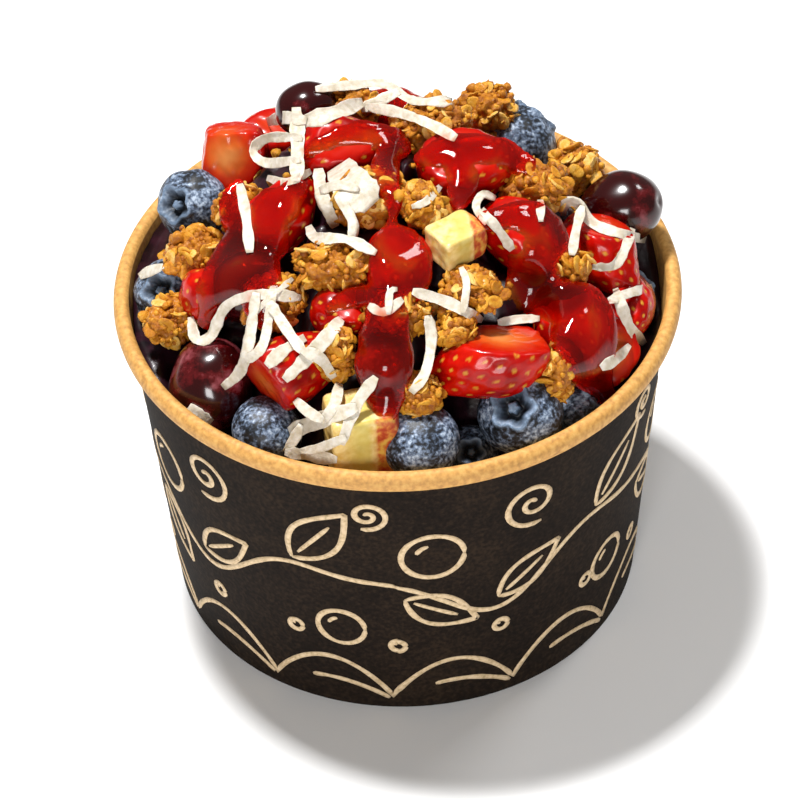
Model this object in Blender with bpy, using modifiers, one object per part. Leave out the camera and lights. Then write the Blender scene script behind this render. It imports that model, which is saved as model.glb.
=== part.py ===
"""An acai bowl: a round kraft paper cup filled with dark acai and heaped with berries, grapes, diced
strawberries, apple and granola, under poured syrup and shreds of coconut.

Tables are in millimetres. Places are measured from the middle of the cup's rim, with x to the right,
y to the back and z up. The origin of the model is the middle of the cup's foot, on the table.
"""

import math

import bmesh
import bpy
import numpy as np
from mathutils import Vector
from mathutils.bvhtree import BVHTree

MM = 0.001
GAP = 0.3 * MM
CUTTER_MARGIN = 0.45 * MM
SMALLEST_DETAIL = 0.02 * MM
FLAT_AFTER_CUT = math.radians(9)
FLAT_AFTER_UNION = math.radians(1)
SHARP = math.radians(40)

CUP_HEIGHT = 74.0 * MM
RIM_RADIUS = 57.5 * MM
FOOT_RADIUS = 48.0 * MM
PAPER = 0.6 * MM
ROLL_WIDTH = 3.4 * MM
ROLL_HEIGHT = 4.5 * MM
FOOT_HEM = 1.8 * MM
BOTTOM_RECESS = 8.0 * MM
CUP_STEPS = 32
WALL_TOP = CUP_HEIGHT - ROLL_HEIGHT
WALL_TOP_RADIUS = RIM_RADIUS - ROLL_WIDTH + PAPER

HEAP_MIDDLE = (1.0 * MM, 4.0 * MM)
HEAP_RADIUS = 52.5 * MM
HEAP_HEIGHT = 31.0 * MM
HEAP_EDGE = 3.0 * MM
HEAP_POWER = 0.8
CORE_DEPTH = 6.5 * MM
CORE_SPACE = 1.4 * MM
CORE_STEP_DOWN = 0.4 * MM
CORE_RINGS = 9
CORE_STEPS = 30
CORE_ROUNDS = 60
RING = [(math.cos(turn), math.sin(turn)) for turn in np.radians(range(0, 360, 60))]

VIEW_DISTANCE = 1100.0 * MM
VIEWS = {"front": (0, 41.8), "back": (180, 50.0)}

COCONUT_THICKNESS = 0.9 * MM
SYRUP_EDGE = 0.7 * MM
SYRUP_MIDDLE = 2.2 * MM
SYRUP_SHOULDER = 4.0
POOL_CELL = 4.5
CELL_KEPT = 0.25 * POOL_CELL
EDGE_REACH = 0.6 * POOL_CELL
PROBE = 0.1
SHRED_STEP = 8.0
WIDE_SHRED = 4.0
TAUT_STEPS = 6
TAUT_SHARE = 0.6
CLEARING_ROUNDS = 40
STEP_NEARER = 0.25 * MM
OATS_ON_A_CLUMP = 3
GOLDEN_TURN = math.radians(137.5)
CUTS_TRIED = 5
CARRIERS_TRIED = 4
LARGEST_SCRAP = 1.0 * MM * MM

# How deep a strip sinks into what carries it and how wide a space it keeps round it, in millimetres.
# The rows are tried in turn
SETTLINGS = ((0.5, 0.9), (0.62, 0.6), (0.4, 0.9), (0.7, 0.4))

# Name, place, radius and the way its crown points
BLUEBERRIES = (
    ("blueberry_back_left", (-41, 18, 7), 7.4, (-0.55, -0.6, 0.55)),
    ("blueberry_left", (-46, -1, 0), 7.2, (-0.3, -0.6, 0.7)),
    ("blueberry_back", (25.5, 35.5, 5.3), 8.6, (0.5, 0.5, 0.4)),
    ("blueberry_front_left", (-26.8, -37.6, -4.6), 7.2, (-0.5, 0.2, -0.8)),
    ("blueberry_front", (3.4, -45.2, -1.9), 7.8, (0.2, 0.5, -0.8)),
    ("blueberry_front_right", (23.3, -38.2, -1.4), 8.7, (-0.23, -0.61, 0.76)),
    ("blueberry_right_low", (35, -31, -10), 6.2, (0.6, 0.2, 0.6)),
    ("blueberry_front_low", (13.3, -38.6, -11.6), 5.5, (0.0, -0.7, 0.7)),
    ("blueberry_right", (46.5, -1, -6), 6.0, (0.6, 0.2, 0.7)),
    ("blueberry_behind_left", (-13, 44, 0), 7.4, (-0.2, 0.6, 0.7)),
    ("blueberry_behind_right", (12, 45.5, -1), 7.0, (0.5, 0.7, 0.2)),
)

# Name, place, radius, length and the way its long axis points
GRAPES = (
    ("grape_left", (-37.8, -25, -3.2), 8.2, 19.6, (0.1, 0.5, 0.85)),
    ("grape_right", (46, 10.5, 8.5), 7.4, 17.0, (0.8, -0.2, 0.3)),
    ("grape_under_syrup", (-29.2, -14.1, 12.4), 7.0, 16.0, (0.7, -0.4, 0.6)),
    ("grape_front", (-3.2, -37.2, 11), 5.9, 13.0, (0.2, -0.6, 0.8)),
    ("grape_top_left", (-17, 25, 25.5), 5.6, 13.0, (0.9, 0.3, 0.1)),
)

# Name, place, length, width, the way the tip points, and the knife cuts: the way each faces and how
# far it lies from the middle
STRAWBERRIES = (
    ("strawberry_back_left", (-32.5, 26.5, 12), 21, 18, (0.3, 0.2, -0.9),
     (((-0.25, -0.8, 0.5), 3.5), ((-0.95, 0, 0.2), 6), ((-0.1, 0.3, 0.95), 6.2))),
    ("strawberry_behind_left", (-23, 33, 12), 18, 14, (0.9, 0.3, 0.1), (((0, -0.2, 0.95), 4),)),
    ("strawberry_front_left", (-21.7, -32, 7.5), 24, 19, (0.7, 0.2, 0.2),
     (((-0.7, -0.55, -0.2), 6), ((-0.2, 0.8, 0.5), 5))),
    ("strawberry_front", (17.7, -33.5, 9.3), 27, 20, (-0.93, -0.2, -0.2),
     (((0.12, 0.35, 0.92), 4), ((0.95, 0.2, -0.1), 11))),
    ("strawberry_right", (41.5, -4, 9), 21, 17, (0.5, -0.7, -0.4), (((0.2, 0.3, 0.9), 5.5),)),
    ("strawberry_right_rim", (45.5, -11, 1), 18, 15, (0.2, -0.9, 0.2), (((-0.8, 0.2, 0.5), 4),)),
    ("strawberry_right_front", (41, -21.5, -1), 19, 17, (0.4, 0.7, -0.5),
     (((0.1, -0.75, 0.6), 2.5), ((-0.9, 0, 0.3), 6))),
    ("strawberry_right_low", (34.5, -24.5, 6.5), 21, 17, (0.3, -0.9, -0.3), (((-0.3, 0.2, 0.9), 5.5),)),
    ("strawberry_top", (-9.4, 12.2, 25), 20, 17, (0.9, -0.2, 0.2), (((0, -0.5, 0.85), 5.5),)),
    ("strawberry_centre", (-0.3, -20.2, 20.5), 19, 16, (-0.2, -0.9, -0.3), (((0.3, 0, 0.95), 5.5),)),
    ("strawberry_left_upper", (-22, -1, 20.5), 19, 15, (0.6, 0.7, 0.3), (((-0.3, -0.3, 0.9), 5),)),
    ("strawberry_left", (-38, -10, 7), 19, 14, (-0.3, 0.5, -0.8), (((0.2, 0.8, 0.5), 4),)),
    ("strawberry_upper", (15.5, 6, 25), 22, 18, (0.9, 0.3, -0.2), (((0, -0.2, 0.95), 5),)),
    ("strawberry_right_upper", (25, -9.6, 19), 19, 15, (0.7, -0.6, -0.4), (((0.2, -0.2, 0.95), 5),)),
    ("strawberry_small_front", (-11.4, -25.7, 15), 14, 12, (0.5, -0.7, 0.3), (((0, -0.3, 0.9), 4.5),)),
    ("strawberry_behind", (1, 36, 13), 21, 18, (0.6, 0.5, 0.4), (((0.2, 0.7, 0.7), 4.5),)),
    ("strawberry_behind_right", (12, 27, 12.5), 15, 13, (0.5, 0.7, 0.2), (((0.3, 0.7, 0.6), 4),)),
)

# Name, place, width, depth, height and the turn about the upright axis in degrees
APPLES = (
    ("apple_front", (-8.8, -44, -1), 12, 11, 17, 12),
    ("apple_upper", (11.5, -15.5, 24), 9, 8, 7, 35),
)

# Name, place, width, depth, height and the turn about the upright axis in degrees
GRANOLA = (
    ("granola_left_top", (-40, -1.6, 11.2), 14, 12, 9, 20),
    ("granola_left_rim", (-45.6, -12, 2.8), 12, 12, 10, 60),
    ("granola_left_upper", (-30.5, 4.5, 17), 13, 11, 10, 10),
    ("granola_centre_left", (-12.1, -18.4, 21.5), 18, 12, 10, -10),
    ("granola_left", (-24.2, -21.5, 15.2), 14, 13, 11, 35),
    ("granola_small_front", (-12.4, -34.5, 12.5), 9, 8, 14, 15),
    ("granola_centre", (-0.2, -30, 18), 14, 11, 10, 0),
    ("granola_front_right", (11, -31.4, 14.8), 9, 8, 8, 50),
    ("granola_centre_top", (5.5, -8, 27), 9, 11, 10, 20),
    ("granola_middle", (-5.5, -3.5, 26), 19, 14, 11, 8),
    ("granola_top", (7.9, 18.6, 25), 18, 14, 12, 15),
    ("granola_top_left", (-8.1, 27, 23.5), 14, 11, 11, -20),
    ("granola_back_right", (28.3, 3.5, 20.8), 16, 13, 10, 5),
    ("granola_right_back", (37, 20, 11), 12, 12, 11, 40),
    ("granola_right_centre", (14.5, -24, 18.4), 14, 11, 9, -25),
    ("granola_right", (34, -14, 14.6), 9, 9, 9, 70),
    ("granola_right_front", (30.3, -36, 5.5), 8, 8, 12, 10),
    ("granola_front", (3.4, -41.5, 7.4), 10, 9, 9, 30),
    ("granola_behind", (-12, 37, 12), 13, 12, 11, 35),
    ("granola_behind_right", (20, 36, 14), 13, 12, 11, 60),
    ("granola_behind_left", (-31, 36, 3), 13, 12, 11, 25),
    ("granola_behind_low", (36, 33, 1), 11, 11, 10, 15),
)

# The side each pool of syrup is seen from and its streams. A stream is a line of points in the picture
# plane, as right, up and width
SYRUP = (
    ("front", (
        ((-16.5, 27, 3), (-10.5, 29.5, 4.5), (-4, 30, 6), (1, 27, 5.5)),
        ((0, 28.5, 5.5), (-1.5, 22.5, 5.5), (0, 16.5, 3.5), (-0.5, 11.5, 3), (0, 6.5, 10),
         (0.5, 2, 12.5), (-1, -3, 6)),
        ((-2.5, -0.5, 5.5), (-8.5, -3, 4), (-13.5, -5, 3)),
        ((-1, -1.5, 7), (-2.5, -8.5, 9.5), (-3, -14.5, 11.5), (-3, -20.5, 9.5), (-3.5, -25.5, 5.5)),
    )),
    ("front", (
        ((6.5, 25, 4), (12.5, 26, 7), (20, 25.5, 7), (27.5, 22.5, 3.5)),
        ((12.5, 26, 6), (14, 21, 7), (13, 15.5, 3.5)),
    )),
    ("front", (
        ((19, 11.5, 4), (25.5, 12, 7), (30, 9, 8), (33, 5.5, 4)),
        ((30, 8, 7), (28, 3, 9.5), (27.5, -1.5, 11), (30.5, -6, 8)),
        ((29.5, -4, 8), (35.5, -7, 11.5), (37.5, -12, 13.5), (38.5, -18.5, 9), (41.5, -24, 4)),
    )),
    ("front", (
        ((-19, 19.5, 4), (-23, 16.5, 8), (-27, 11, 11.5), (-31.5, 5, 12), (-36, -0.5, 9), (-38.5, -6, 4)),
        ((-29.5, 10.5, 8), (-33, 17, 5.5), (-31, 20.5, 3)),
        ((-29.5, 7.5, 10), (-28, 0.5, 10), (-27.5, -6, 5)),
    )),
    ("back", (
        ((3, -9, 5), (0, -14, 9), (-3, -20, 8), (-6, -26, 4)),
        ((0, -14, 6), (6, -19, 6), (9, -24, 4)),
    )),
)

# The shreds of coconut, by the side each is seen from: a width and a line of points in the picture plane
COCONUT = {
    "front": (
        (2.0, (-15, 39.5), (-8, 40), (-1, 40), (4.5, 36.5), (12.5, 36)),
        (2.2, (-6, 35), (-2.5, 36.5), (2, 38.5)),
        (2.2, (-4.5, 35.5), (2, 34), (8, 31.5), (13, 28.5)),
        (3.0, (-20, 32.5), (-13.5, 34), (-5.5, 36.5)),
        (3.0, (-19, 36), (-19, 29.5), (-19.5, 21)),
        (2.6, (-25, 33.2), (-21.5, 34), (-17, 33.2)),
        (2.0, (-18, 29.8), (-25, 30), (-28, 27.5), (-25.5, 25), (-18.5, 25.4)),
        (2.0, (-25.5, 22), (-21.5, 21), (-16.5, 23)),
        (7.5, (-11, 24), (-8.5, 20), (-4.5, 15.5)),
        (2.6, (-15, 23.5), (-14.5, 18), (-12, 11.5)),
        (2.2, (-11.5, 18), (-8.5, 12.5), (-9, 8)),
        (2.2, (-17.5, 12), (-16, 9.5), (-10, 9), (-4, 6)),
        (2.0, (-15, 19), (-11, 20), (-7, 19)),
        (2.2, (-31, 21), (-30, 14.5), (-29.5, 7)),
        (2.2, (-42, -5.5), (-41, -10), (-38, -9.5), (-34.5, -3.5), (-27.5, -1.5), (-19.5, -2.5)),
        (1.2, (-31.5, -7.5), (-26, -2.5), (-21, 1.5)),
        (2.2, (-28.5, -1), (-30.5, -11.5), (-32.5, -17), (-36, -20)),
        (2.0, (-25, 0), (-27.5, -11.5), (-31.5, -15)),
        (2.8, (-11.5, -7), (-16.5, -12.5), (-23.5, -19)),
        (2.6, (-27, -16), (-23.5, -13), (-19, -10.5)),
        (2.4, (-26, -3), (-22.5, -9), (-19.5, -13.5)),
        (2.4, (-20, -13), (-16, -15), (-13.5, -19)),
        (2.4, (-5, -19), (-9.5, -25), (-12.5, -32.5)),
        (3.4, (-23, -29.5), (-15.5, -27), (-9, -25)),
        (2.2, (-12.5, -20), (-13.5, -24), (-16, -27.5)),
        (2.2, (-21.5, -23), (-19, -25.5), (-16, -27.5)),
        (2.0, (-20.5, -28), (-22, -31), (-24, -33.5)),
        (2.4, (-24, -33.5), (-19, -34.5), (-13.5, -35.5)),
        (2.0, (-21, -33.5), (-17, -33), (-11.5, -31)),
        (2.2, (6, -7), (6.5, -12), (5, -18.5), (2, -22.5)),
        (2.2, (3, -2), (10, -4.5), (17, -8.5)),
        (1.6, (13, 2.5), (14, -1), (13, -7)),
        (1.8, (20, -9), (24.5, -8.5), (28.5, -8.5)),
        (2.0, (-6, -4.5), (-3, -6), (1, -3.5)),
        (1.4, (-2, -6.5), (-1.5, -2), (0, -1.5)),
        (1.6, (3.5, 15), (6.5, 16), (9.5, 19)),
        (1.8, (20.5, 16), (18, 17), (16.5, 14.5), (18.5, 11)),
        (2.0, (17.5, 14), (21, 9.5), (23.5, 5.5)),
        (1.8, (29.5, 15.5), (29.5, 14), (29.5, 11)),
        (2.0, (34, 12), (34.5, 14.5), (37, 14.5), (40.5, 10), (50.5, 6.5)),
        (1.8, (38, 14), (36.5, 9), (35.5, 4)),
        (2.0, (39.5, 1.5), (44.5, 2), (48, 9)),
        (2.0, (42.5, -5.5), (47, -4), (51.5, -3)),
        (2.2, (44, -3), (46.5, -10.5), (49.5, -14.5)),
        (2.2, (40.5, -19), (44, -17), (46.5, -14.5)),
        (2.2, (-52, 3), (-50, 4), (-47, 5)),
        (2.2, (-43, -23.5), (-41, -25), (-38.5, -27)),
    ),
    "back": (
        (2.2, (-31, -24), (-24, -27.5), (-15, -30)),
        (2.0, (-26, -24), (-22.5, -29), (-23, -35)),
        (2.4, (15, -16), (22, -20), (29, -23)),
        (2.0, (21, -14), (23, -20), (21, -27)),
    ),
}


def clear_scene():
    """Removes what the new file starts with."""
    for thing in list(bpy.data.objects):
        bpy.data.objects.remove(thing)


def new_collection(name):
    """A collection in the scene."""
    collection = bpy.data.collections.new(name)
    bpy.context.scene.collection.children.link(collection)
    return collection


def material(name, colour, roughness):
    """A Principled material of one colour."""
    made = bpy.data.materials.new(name)
    made.use_nodes = True
    shader = made.node_tree.nodes["Principled BSDF"]
    shader.inputs["Base Color"].default_value = (*colour, 1.0)
    shader.inputs["Roughness"].default_value = roughness
    return made


def new_object(name, mesh, collection, finish=None):
    """An object of this mesh in the collection."""
    thing = bpy.data.objects.new(name, mesh)
    collection.objects.link(thing)
    if finish:
        mesh.materials.append(finish)
    return thing


def to_mesh(bm, name):
    """The bmesh as a new mesh; the bmesh is freed."""
    mesh = bpy.data.meshes.new(name)
    bm.to_mesh(mesh)
    bm.free()
    return mesh


def world_bmesh(thing):
    """The object's evaluated mesh in world space, in triangles."""
    evaluated = thing.evaluated_get(bpy.context.evaluated_depsgraph_get())
    bm = bmesh.new()
    bm.from_mesh(evaluated.to_mesh())
    evaluated.to_mesh_clear()
    bm.transform(thing.matrix_world)
    bmesh.ops.triangulate(bm, faces=bm.faces[:])
    return bm


def apply_modifiers(thing):
    """Turns the evaluated shape into the object's own mesh."""
    evaluated = thing.evaluated_get(bpy.context.evaluated_depsgraph_get())
    mesh = bpy.data.meshes.new_from_object(evaluated)
    thing.modifiers.clear()
    thing.data = mesh


def bodies_of(bm):
    """The separate bodies of a bmesh, each as its faces, the largest first."""
    bm.faces.ensure_lookup_table()
    left = set(bm.faces)
    bodies = []
    while left:
        body = {left.pop()}
        edge_of_body = list(body)
        while edge_of_body:
            face = edge_of_body.pop()
            near = {other for edge in face.edges for other in edge.link_faces} & left
            left -= near
            body |= near
            edge_of_body.extend(near)
        bodies.append(body)
    return sorted(bodies, key=lambda body: -sum(face.calc_area() for face in body))


def clean_up(thing, flat_enough):
    """Merges the slivers that a Boolean leaves, where that keeps the body closed, and drops loose scraps.

    Faces that meet at less than the angle become one.

    Returns the area of the scraps.
    """
    for detail in (SMALLEST_DETAIL, SMALLEST_DETAIL / 4, 0):
        bm = bmesh.new()
        bm.from_mesh(thing.data)
        if detail:
            bmesh.ops.remove_doubles(bm, verts=bm.verts[:], dist=detail)
            bmesh.ops.dissolve_degenerate(bm, dist=detail, edges=bm.edges[:])
            bmesh.ops.dissolve_limit(
                bm, angle_limit=flat_enough, verts=bm.verts[:], edges=bm.edges[:], delimit={"MATERIAL"},
            )
        bmesh.ops.triangulate(bm, faces=bm.faces[:])
        if not detail or all(edge.is_manifold for edge in bm.edges):
            break
        bm.free()
    scraps = [face for body in bodies_of(bm)[1:] for face in body]
    dropped = sum(face.calc_area() for face in scraps)
    bmesh.ops.delete(bm, geom=scraps, context="FACES")
    bm.to_mesh(thing.data)
    bm.free()
    return dropped


def boolean(thing, operation, collection, flat_enough):
    """Joins the collection's objects to the object, or cuts them from it, and removes them.

    Returns the area of what came loose and was dropped.
    """
    step = thing.modifiers.new(operation.lower(), "BOOLEAN")
    step.operation = operation
    step.operand_type = "COLLECTION"
    step.collection = collection
    step.solver = "EXACT"
    step.use_self = True
    step.material_mode = "TRANSFER"
    apply_modifiers(thing)
    for used in list(collection.objects):
        bpy.data.objects.remove(used)
    return clean_up(thing, flat_enough)


def volume_of(thing):
    """The volume of the object's evaluated mesh, negative where it faces inwards."""
    bm = world_bmesh(thing)
    volume = bm.calc_volume(signed=True)
    bm.free()
    return volume


def is_closed(thing):
    """True if each edge of the object's mesh joins two faces."""
    bm = bmesh.new()
    bm.from_mesh(thing.data)
    closed = all(edge.is_manifold for edge in bm.edges)
    bm.free()
    return closed


def hull_of(thing, margin):
    """A bmesh of the object's convex hull in world space, standing proud of it by the margin."""
    bm = world_bmesh(thing)
    hull = bmesh.ops.convex_hull(bm, input=bm.verts[:])
    kept = set(hull["geom"])
    loose = [v for v in bm.verts if v not in kept]
    bmesh.ops.delete(bm, geom=loose, context="VERTS")
    inside = [f for f in bm.faces if f not in kept]
    bmesh.ops.delete(bm, geom=inside, context="FACES_ONLY")
    bmesh.ops.recalc_face_normals(bm, faces=bm.faces[:])
    bm.normal_update()
    for vertex in bm.verts:
        vertex.co += vertex.normal * margin
    return bm


def tree_of(bm):
    """A search tree of the bmesh."""
    return BVHTree.FromBMesh(bm)


def clear_of(thing, neighbours, hulls):
    """Cuts from the object the room that its finished neighbours take."""
    own = world_bmesh(thing)
    own_tree = tree_of(own)
    for other in neighbours:
        if own_tree.overlap(tree_of(hulls[other])):
            whole = thing.data
            for attempt in range(CUTS_TRIED):
                thing.data = whole.copy()
                shape = hulls[other].copy()
                for vertex in shape.verts:
                    vertex.co += vertex.normal * attempt * SMALLEST_DETAIL
                cutter = new_object("cutter", to_mesh(shape, "cutter"), cutters)
                cutter.hide_render = True
                cutter.display_type = "WIRE"
                boolean(thing, "DIFFERENCE", cutters, FLAT_AFTER_CUT)
                if is_closed(thing):
                    break
    own.free()


def screwed(name, profile, steps, collection, finish):
    """A turned piece: the profile's points, as radius and height, carried round the upright axis."""
    bm = bmesh.new()
    verts = [bm.verts.new((radius, 0, height)) for radius, height in profile]
    closed = profile[0][0] > 0
    for first, second in zip(verts, verts[1:] + verts[:1] if closed else verts[1:]):
        bm.edges.new((first, second))
    thing = new_object(name, to_mesh(bm, name), collection, finish)
    turn = thing.modifiers.new("turn", "SCREW")
    turn.steps = steps
    turn.render_steps = steps
    turn.use_merge_vertices = True
    turn.merge_threshold = 0.01 * MM
    return thing


def wall_radius(height):
    """The outer radius of the cup's wall at a height above the table."""
    return FOOT_RADIUS + (WALL_TOP_RADIUS - FOOT_RADIUS) * height / WALL_TOP


def make_cup():
    """The cup's wall with its rolled rim and folded foot, and its raised bottom."""
    roll_middle = (RIM_RADIUS - ROLL_WIDTH / 2, CUP_HEIGHT - ROLL_HEIGHT / 2)
    roll = [
        (roll_middle[0] + ROLL_WIDTH / 2 * math.cos(math.radians(turn)),
         roll_middle[1] + ROLL_HEIGHT / 2 * math.sin(math.radians(turn)))
        for turn in (150, 90, 45, 0, -45, -90)
    ]
    foot_inside = FOOT_RADIUS - FOOT_HEM
    hem_top = BOTTOM_RECESS - GAP
    wall = roll + [
        (WALL_TOP_RADIUS, WALL_TOP - 0.4 * MM),
        (FOOT_RADIUS, 0),
        (foot_inside, 0),
        (wall_radius(hem_top) - FOOT_HEM, hem_top),
        (wall_radius(hem_top) - PAPER, hem_top),
        (WALL_TOP_RADIUS - PAPER, WALL_TOP),
    ]
    screwed("cup_wall", wall, CUP_STEPS, parts, materials["kraft"])
    edge = wall_radius(BOTTOM_RECESS) - PAPER - GAP
    bottom = [
        (0, BOTTOM_RECESS + PAPER),
        (edge, BOTTOM_RECESS + PAPER),
        (edge, BOTTOM_RECESS),
        (0, BOTTOM_RECESS),
    ]
    screwed("cup_base", bottom, CUP_STEPS, parts, materials["kraft"])


def above_rim(place):
    """A place in the tables as a point of the model."""
    return Vector(place) * MM + Vector((0, 0, CUP_HEIGHT))


def point_along(thing, axis):
    """Turns the object so that its own z points along the axis."""
    thing.rotation_euler = Vector(axis).to_track_quat("Z", "Y").to_euler()


def make_blueberry(name, place, radius, crown):
    """A flattened ball with a ragged crown round a shallow dent."""
    r = radius * MM
    outline = [(math.sin(t), 0.9 * math.cos(t)) for t in np.radians((34, 65, 97, 135))]
    profile = [(0, 0.62 * r), (0.24 * r, 0.66 * r), (0.36 * r, 0.88 * r)]
    profile += [(x * r, z * r) for x, z in outline]
    profile.append((0, -0.88 * r))
    thing = screwed(name, profile, 10, parts, materials["blueberry"])
    apply_modifiers(thing)
    thing.location = above_rim(place)
    point_along(thing, crown)


def make_grape(name, place, radius, length, axis):
    """A long ball with a small scar where the stalk was."""
    bm = bmesh.new()
    bmesh.ops.create_uvsphere(bm, u_segments=10, v_segments=7, radius=1)
    for vertex in bm.verts:
        scar = 0.9 if vertex.co.z > 0.99 else 1.0
        vertex.co.x *= radius * MM
        vertex.co.y *= radius * MM
        vertex.co.z *= length / 2 * MM * scar
    thing = new_object(name, to_mesh(bm, name), parts, materials["grape"])
    thing.location = above_rim(place)
    point_along(thing, axis)


def slice_off(bm, facing, distance):
    """Cuts a closed bmesh with a plane and closes the cut."""
    normal = Vector(facing).normalized()
    cut = bmesh.ops.bisect_plane(
        bm, geom=bm.verts[:] + bm.edges[:] + bm.faces[:], dist=SMALLEST_DETAIL,
        plane_co=normal * distance, plane_no=normal, clear_outer=True,
    )
    rim = [part for part in cut["geom_cut"] if isinstance(part, bmesh.types.BMEdge)]
    bmesh.ops.contextual_create(bm, geom=rim)


def make_strawberry(name, place, length, width, tip, cuts):
    """A berry that tapers to its tip, diced by its knife cuts."""
    bm = bmesh.new()
    bmesh.ops.create_uvsphere(bm, u_segments=9, v_segments=6, radius=1)
    for vertex in bm.verts:
        along = (vertex.co.z + 1) / 2
        taper = 1 - 0.45 * along ** 1.5
        vertex.co.x *= width / 2 * MM * taper
        vertex.co.y *= width / 2 * MM * taper
        vertex.co.z *= length / 2 * MM
    turn = Vector(tip).to_track_quat("Z", "Y").to_matrix().to_4x4()
    bmesh.ops.transform(bm, matrix=turn, verts=bm.verts[:])
    for facing, distance in cuts:
        slice_off(bm, facing, distance * MM)
    bmesh.ops.recalc_face_normals(bm, faces=bm.faces[:])
    thing = new_object(name, to_mesh(bm, name), parts, materials["strawberry"])
    thing.location = above_rim(place)


def make_apple(name, place, width, depth, height, turn):
    """A diced chunk with softened edges and one bulging side that still has its skin."""
    bm = bmesh.new()
    bmesh.ops.create_cube(bm, size=1)
    bmesh.ops.subdivide_edges(bm, edges=bm.edges[:], cuts=1, use_grid_fill=True)
    for vertex in bm.verts:
        if vertex.co.x > 0.4:
            vertex.co.x += 0.22 - 0.5 * (vertex.co.y ** 2 + vertex.co.z ** 2)
        vertex.co.x *= width * MM
        vertex.co.y *= depth * MM
        vertex.co.z *= height * MM
    bmesh.ops.recalc_face_normals(bm, faces=bm.faces[:])
    thing = new_object(name, to_mesh(bm, name), parts, materials["apple"])
    thing.location = above_rim(place)
    thing.rotation_euler.z = math.radians(turn)


def make_granola(name, place, width, depth, height, turn, draw):
    """A baked clump: an uneven core with rolled oats stuck on, joined into one body."""
    bm = bmesh.new()
    bmesh.ops.create_icosphere(bm, subdivisions=2, radius=0.5)
    for vertex in bm.verts:
        vertex.co *= draw.uniform(0.78, 1.0)
        vertex.co.x *= width * MM
        vertex.co.y *= depth * MM
        vertex.co.z *= height * MM
    thing = new_object(name, to_mesh(bm, name), parts, materials["granola"])
    oats = bpy.data.collections.new("oats")
    for number in range(OATS_ON_A_CLUMP):
        oat = bmesh.new()
        bmesh.ops.create_cube(oat, size=1)
        size = Vector((draw.uniform(4, 6), draw.uniform(3, 4.5), draw.uniform(1.6, 2.6))) * MM
        bmesh.ops.scale(oat, vec=size, verts=oat.verts[:])
        flake = new_object("oat", to_mesh(oat, "oat"), oats)
        high = 1 - 2 * (number + 0.5) / OATS_ON_A_CLUMP
        round_about = number * GOLDEN_TURN + draw.uniform(0, 0.6)
        level = math.sqrt(1 - high * high)
        out = Vector((level * math.cos(round_about), level * math.sin(round_about), high))
        reach = Vector((out.x * width, out.y * depth, out.z * height)) * MM * 0.44
        tilt = Vector(draw.uniform(-0.5, 0.5, 3))
        flake.location = reach
        point_along(flake, out + tilt)
    bpy.context.view_layer.update()
    boolean(thing, "UNION", oats, FLAT_AFTER_CUT)
    bpy.data.collections.remove(oats)
    thing.location = above_rim(place)
    thing.rotation_euler.z = math.radians(turn)


def heap_height(x, y):
    """How high the heap of toppings stands over a point, in metres above the table."""
    reach = math.hypot(x - HEAP_MIDDLE[0], y - HEAP_MIDDLE[1]) / HEAP_RADIUS
    rise = max(0.0, 1 - reach * reach) ** HEAP_POWER
    return CUP_HEIGHT + HEAP_EDGE + HEAP_HEIGHT * rise


def make_core(hulls):
    """The acai that fills the cup, its top pressed down by every piece that lies on it."""
    lowest = BOTTOM_RECESS + PAPER + GAP
    edge_height = CUP_HEIGHT + HEAP_EDGE - CORE_DEPTH
    edge = wall_radius(edge_height) - PAPER - GAP
    profile = [
        (edge * ring / CORE_RINGS, edge_height + (1 - (ring / CORE_RINGS) ** 2) * HEAP_HEIGHT)
        for ring in range(CORE_RINGS + 1)
    ]
    profile += [(wall_radius(lowest) - PAPER - GAP, lowest), (0, lowest)]
    thing = screwed("acai_base", profile, CORE_STEPS, parts, materials["acai"])
    bm = world_bmesh(thing)
    thing.modifiers.clear()
    bm.to_mesh(thing.data)
    bm.free()
    pressing = bmesh.new()
    for bm in hulls.values():
        part = bpy.data.meshes.new("part")
        bm.to_mesh(part)
        pressing.from_mesh(part)
        bpy.data.meshes.remove(part)
    tree = tree_of(pressing)
    top = [v for v in thing.data.vertices if v.co.z > edge_height - 0.1 * MM]
    up = Vector((0, 0, 1))
    for vertex in top:
        x, y = vertex.co.x, vertex.co.y
        height = heap_height(x, y) - CORE_DEPTH
        for side_x, side_y in RING + [(0, 0)]:
            start = Vector((x + CORE_SPACE * side_x, y + CORE_SPACE * side_y, lowest))
            under = tree.ray_cast(start, up)[0]
            if under:
                height = min(height, under.z)
        vertex.co.z = height
        keep_inside(vertex)
    top_numbers = {v.index for v in top}
    for _ in range(CORE_ROUNDS):
        bm = world_bmesh(thing)
        bm.verts.ensure_lookup_table()
        bm.faces.ensure_lookup_table()
        pairs = tree_of(bm).overlap(tree)
        hit = {v.index for face, _ in pairs for v in bm.faces[face].verts} & top_numbers
        bm.free()
        if not hit:
            break
        for index in hit:
            thing.data.vertices[index].co.z -= CORE_STEP_DOWN
            keep_inside(thing.data.vertices[index])
        thing.data.update()
    pressing.free()


def keep_inside(vertex):
    """Draws a point of the core in to the cup's tapering wall."""
    room = wall_radius(vertex.co.z) - PAPER - GAP
    reach = math.hypot(vertex.co.x, vertex.co.y)
    if reach > room:
        vertex.co.x *= room / reach
        vertex.co.y *= room / reach


def view_frame(azimuth, elevation):
    """The eye, the picture's right and its up, for an eye that looks at the middle of the rim.

    The azimuth and elevation are in degrees, and azimuth 0 looks towards the back.
    """
    a, e = math.radians(azimuth), math.radians(elevation)
    back = Vector((math.sin(a) * math.cos(e), -math.cos(a) * math.cos(e), math.sin(e)))
    right = Vector((math.cos(a), math.sin(a), 0))
    eye = Vector((0, 0, CUP_HEIGHT)) + back * VIEW_DISTANCE
    return eye, right, back.cross(right)


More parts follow.
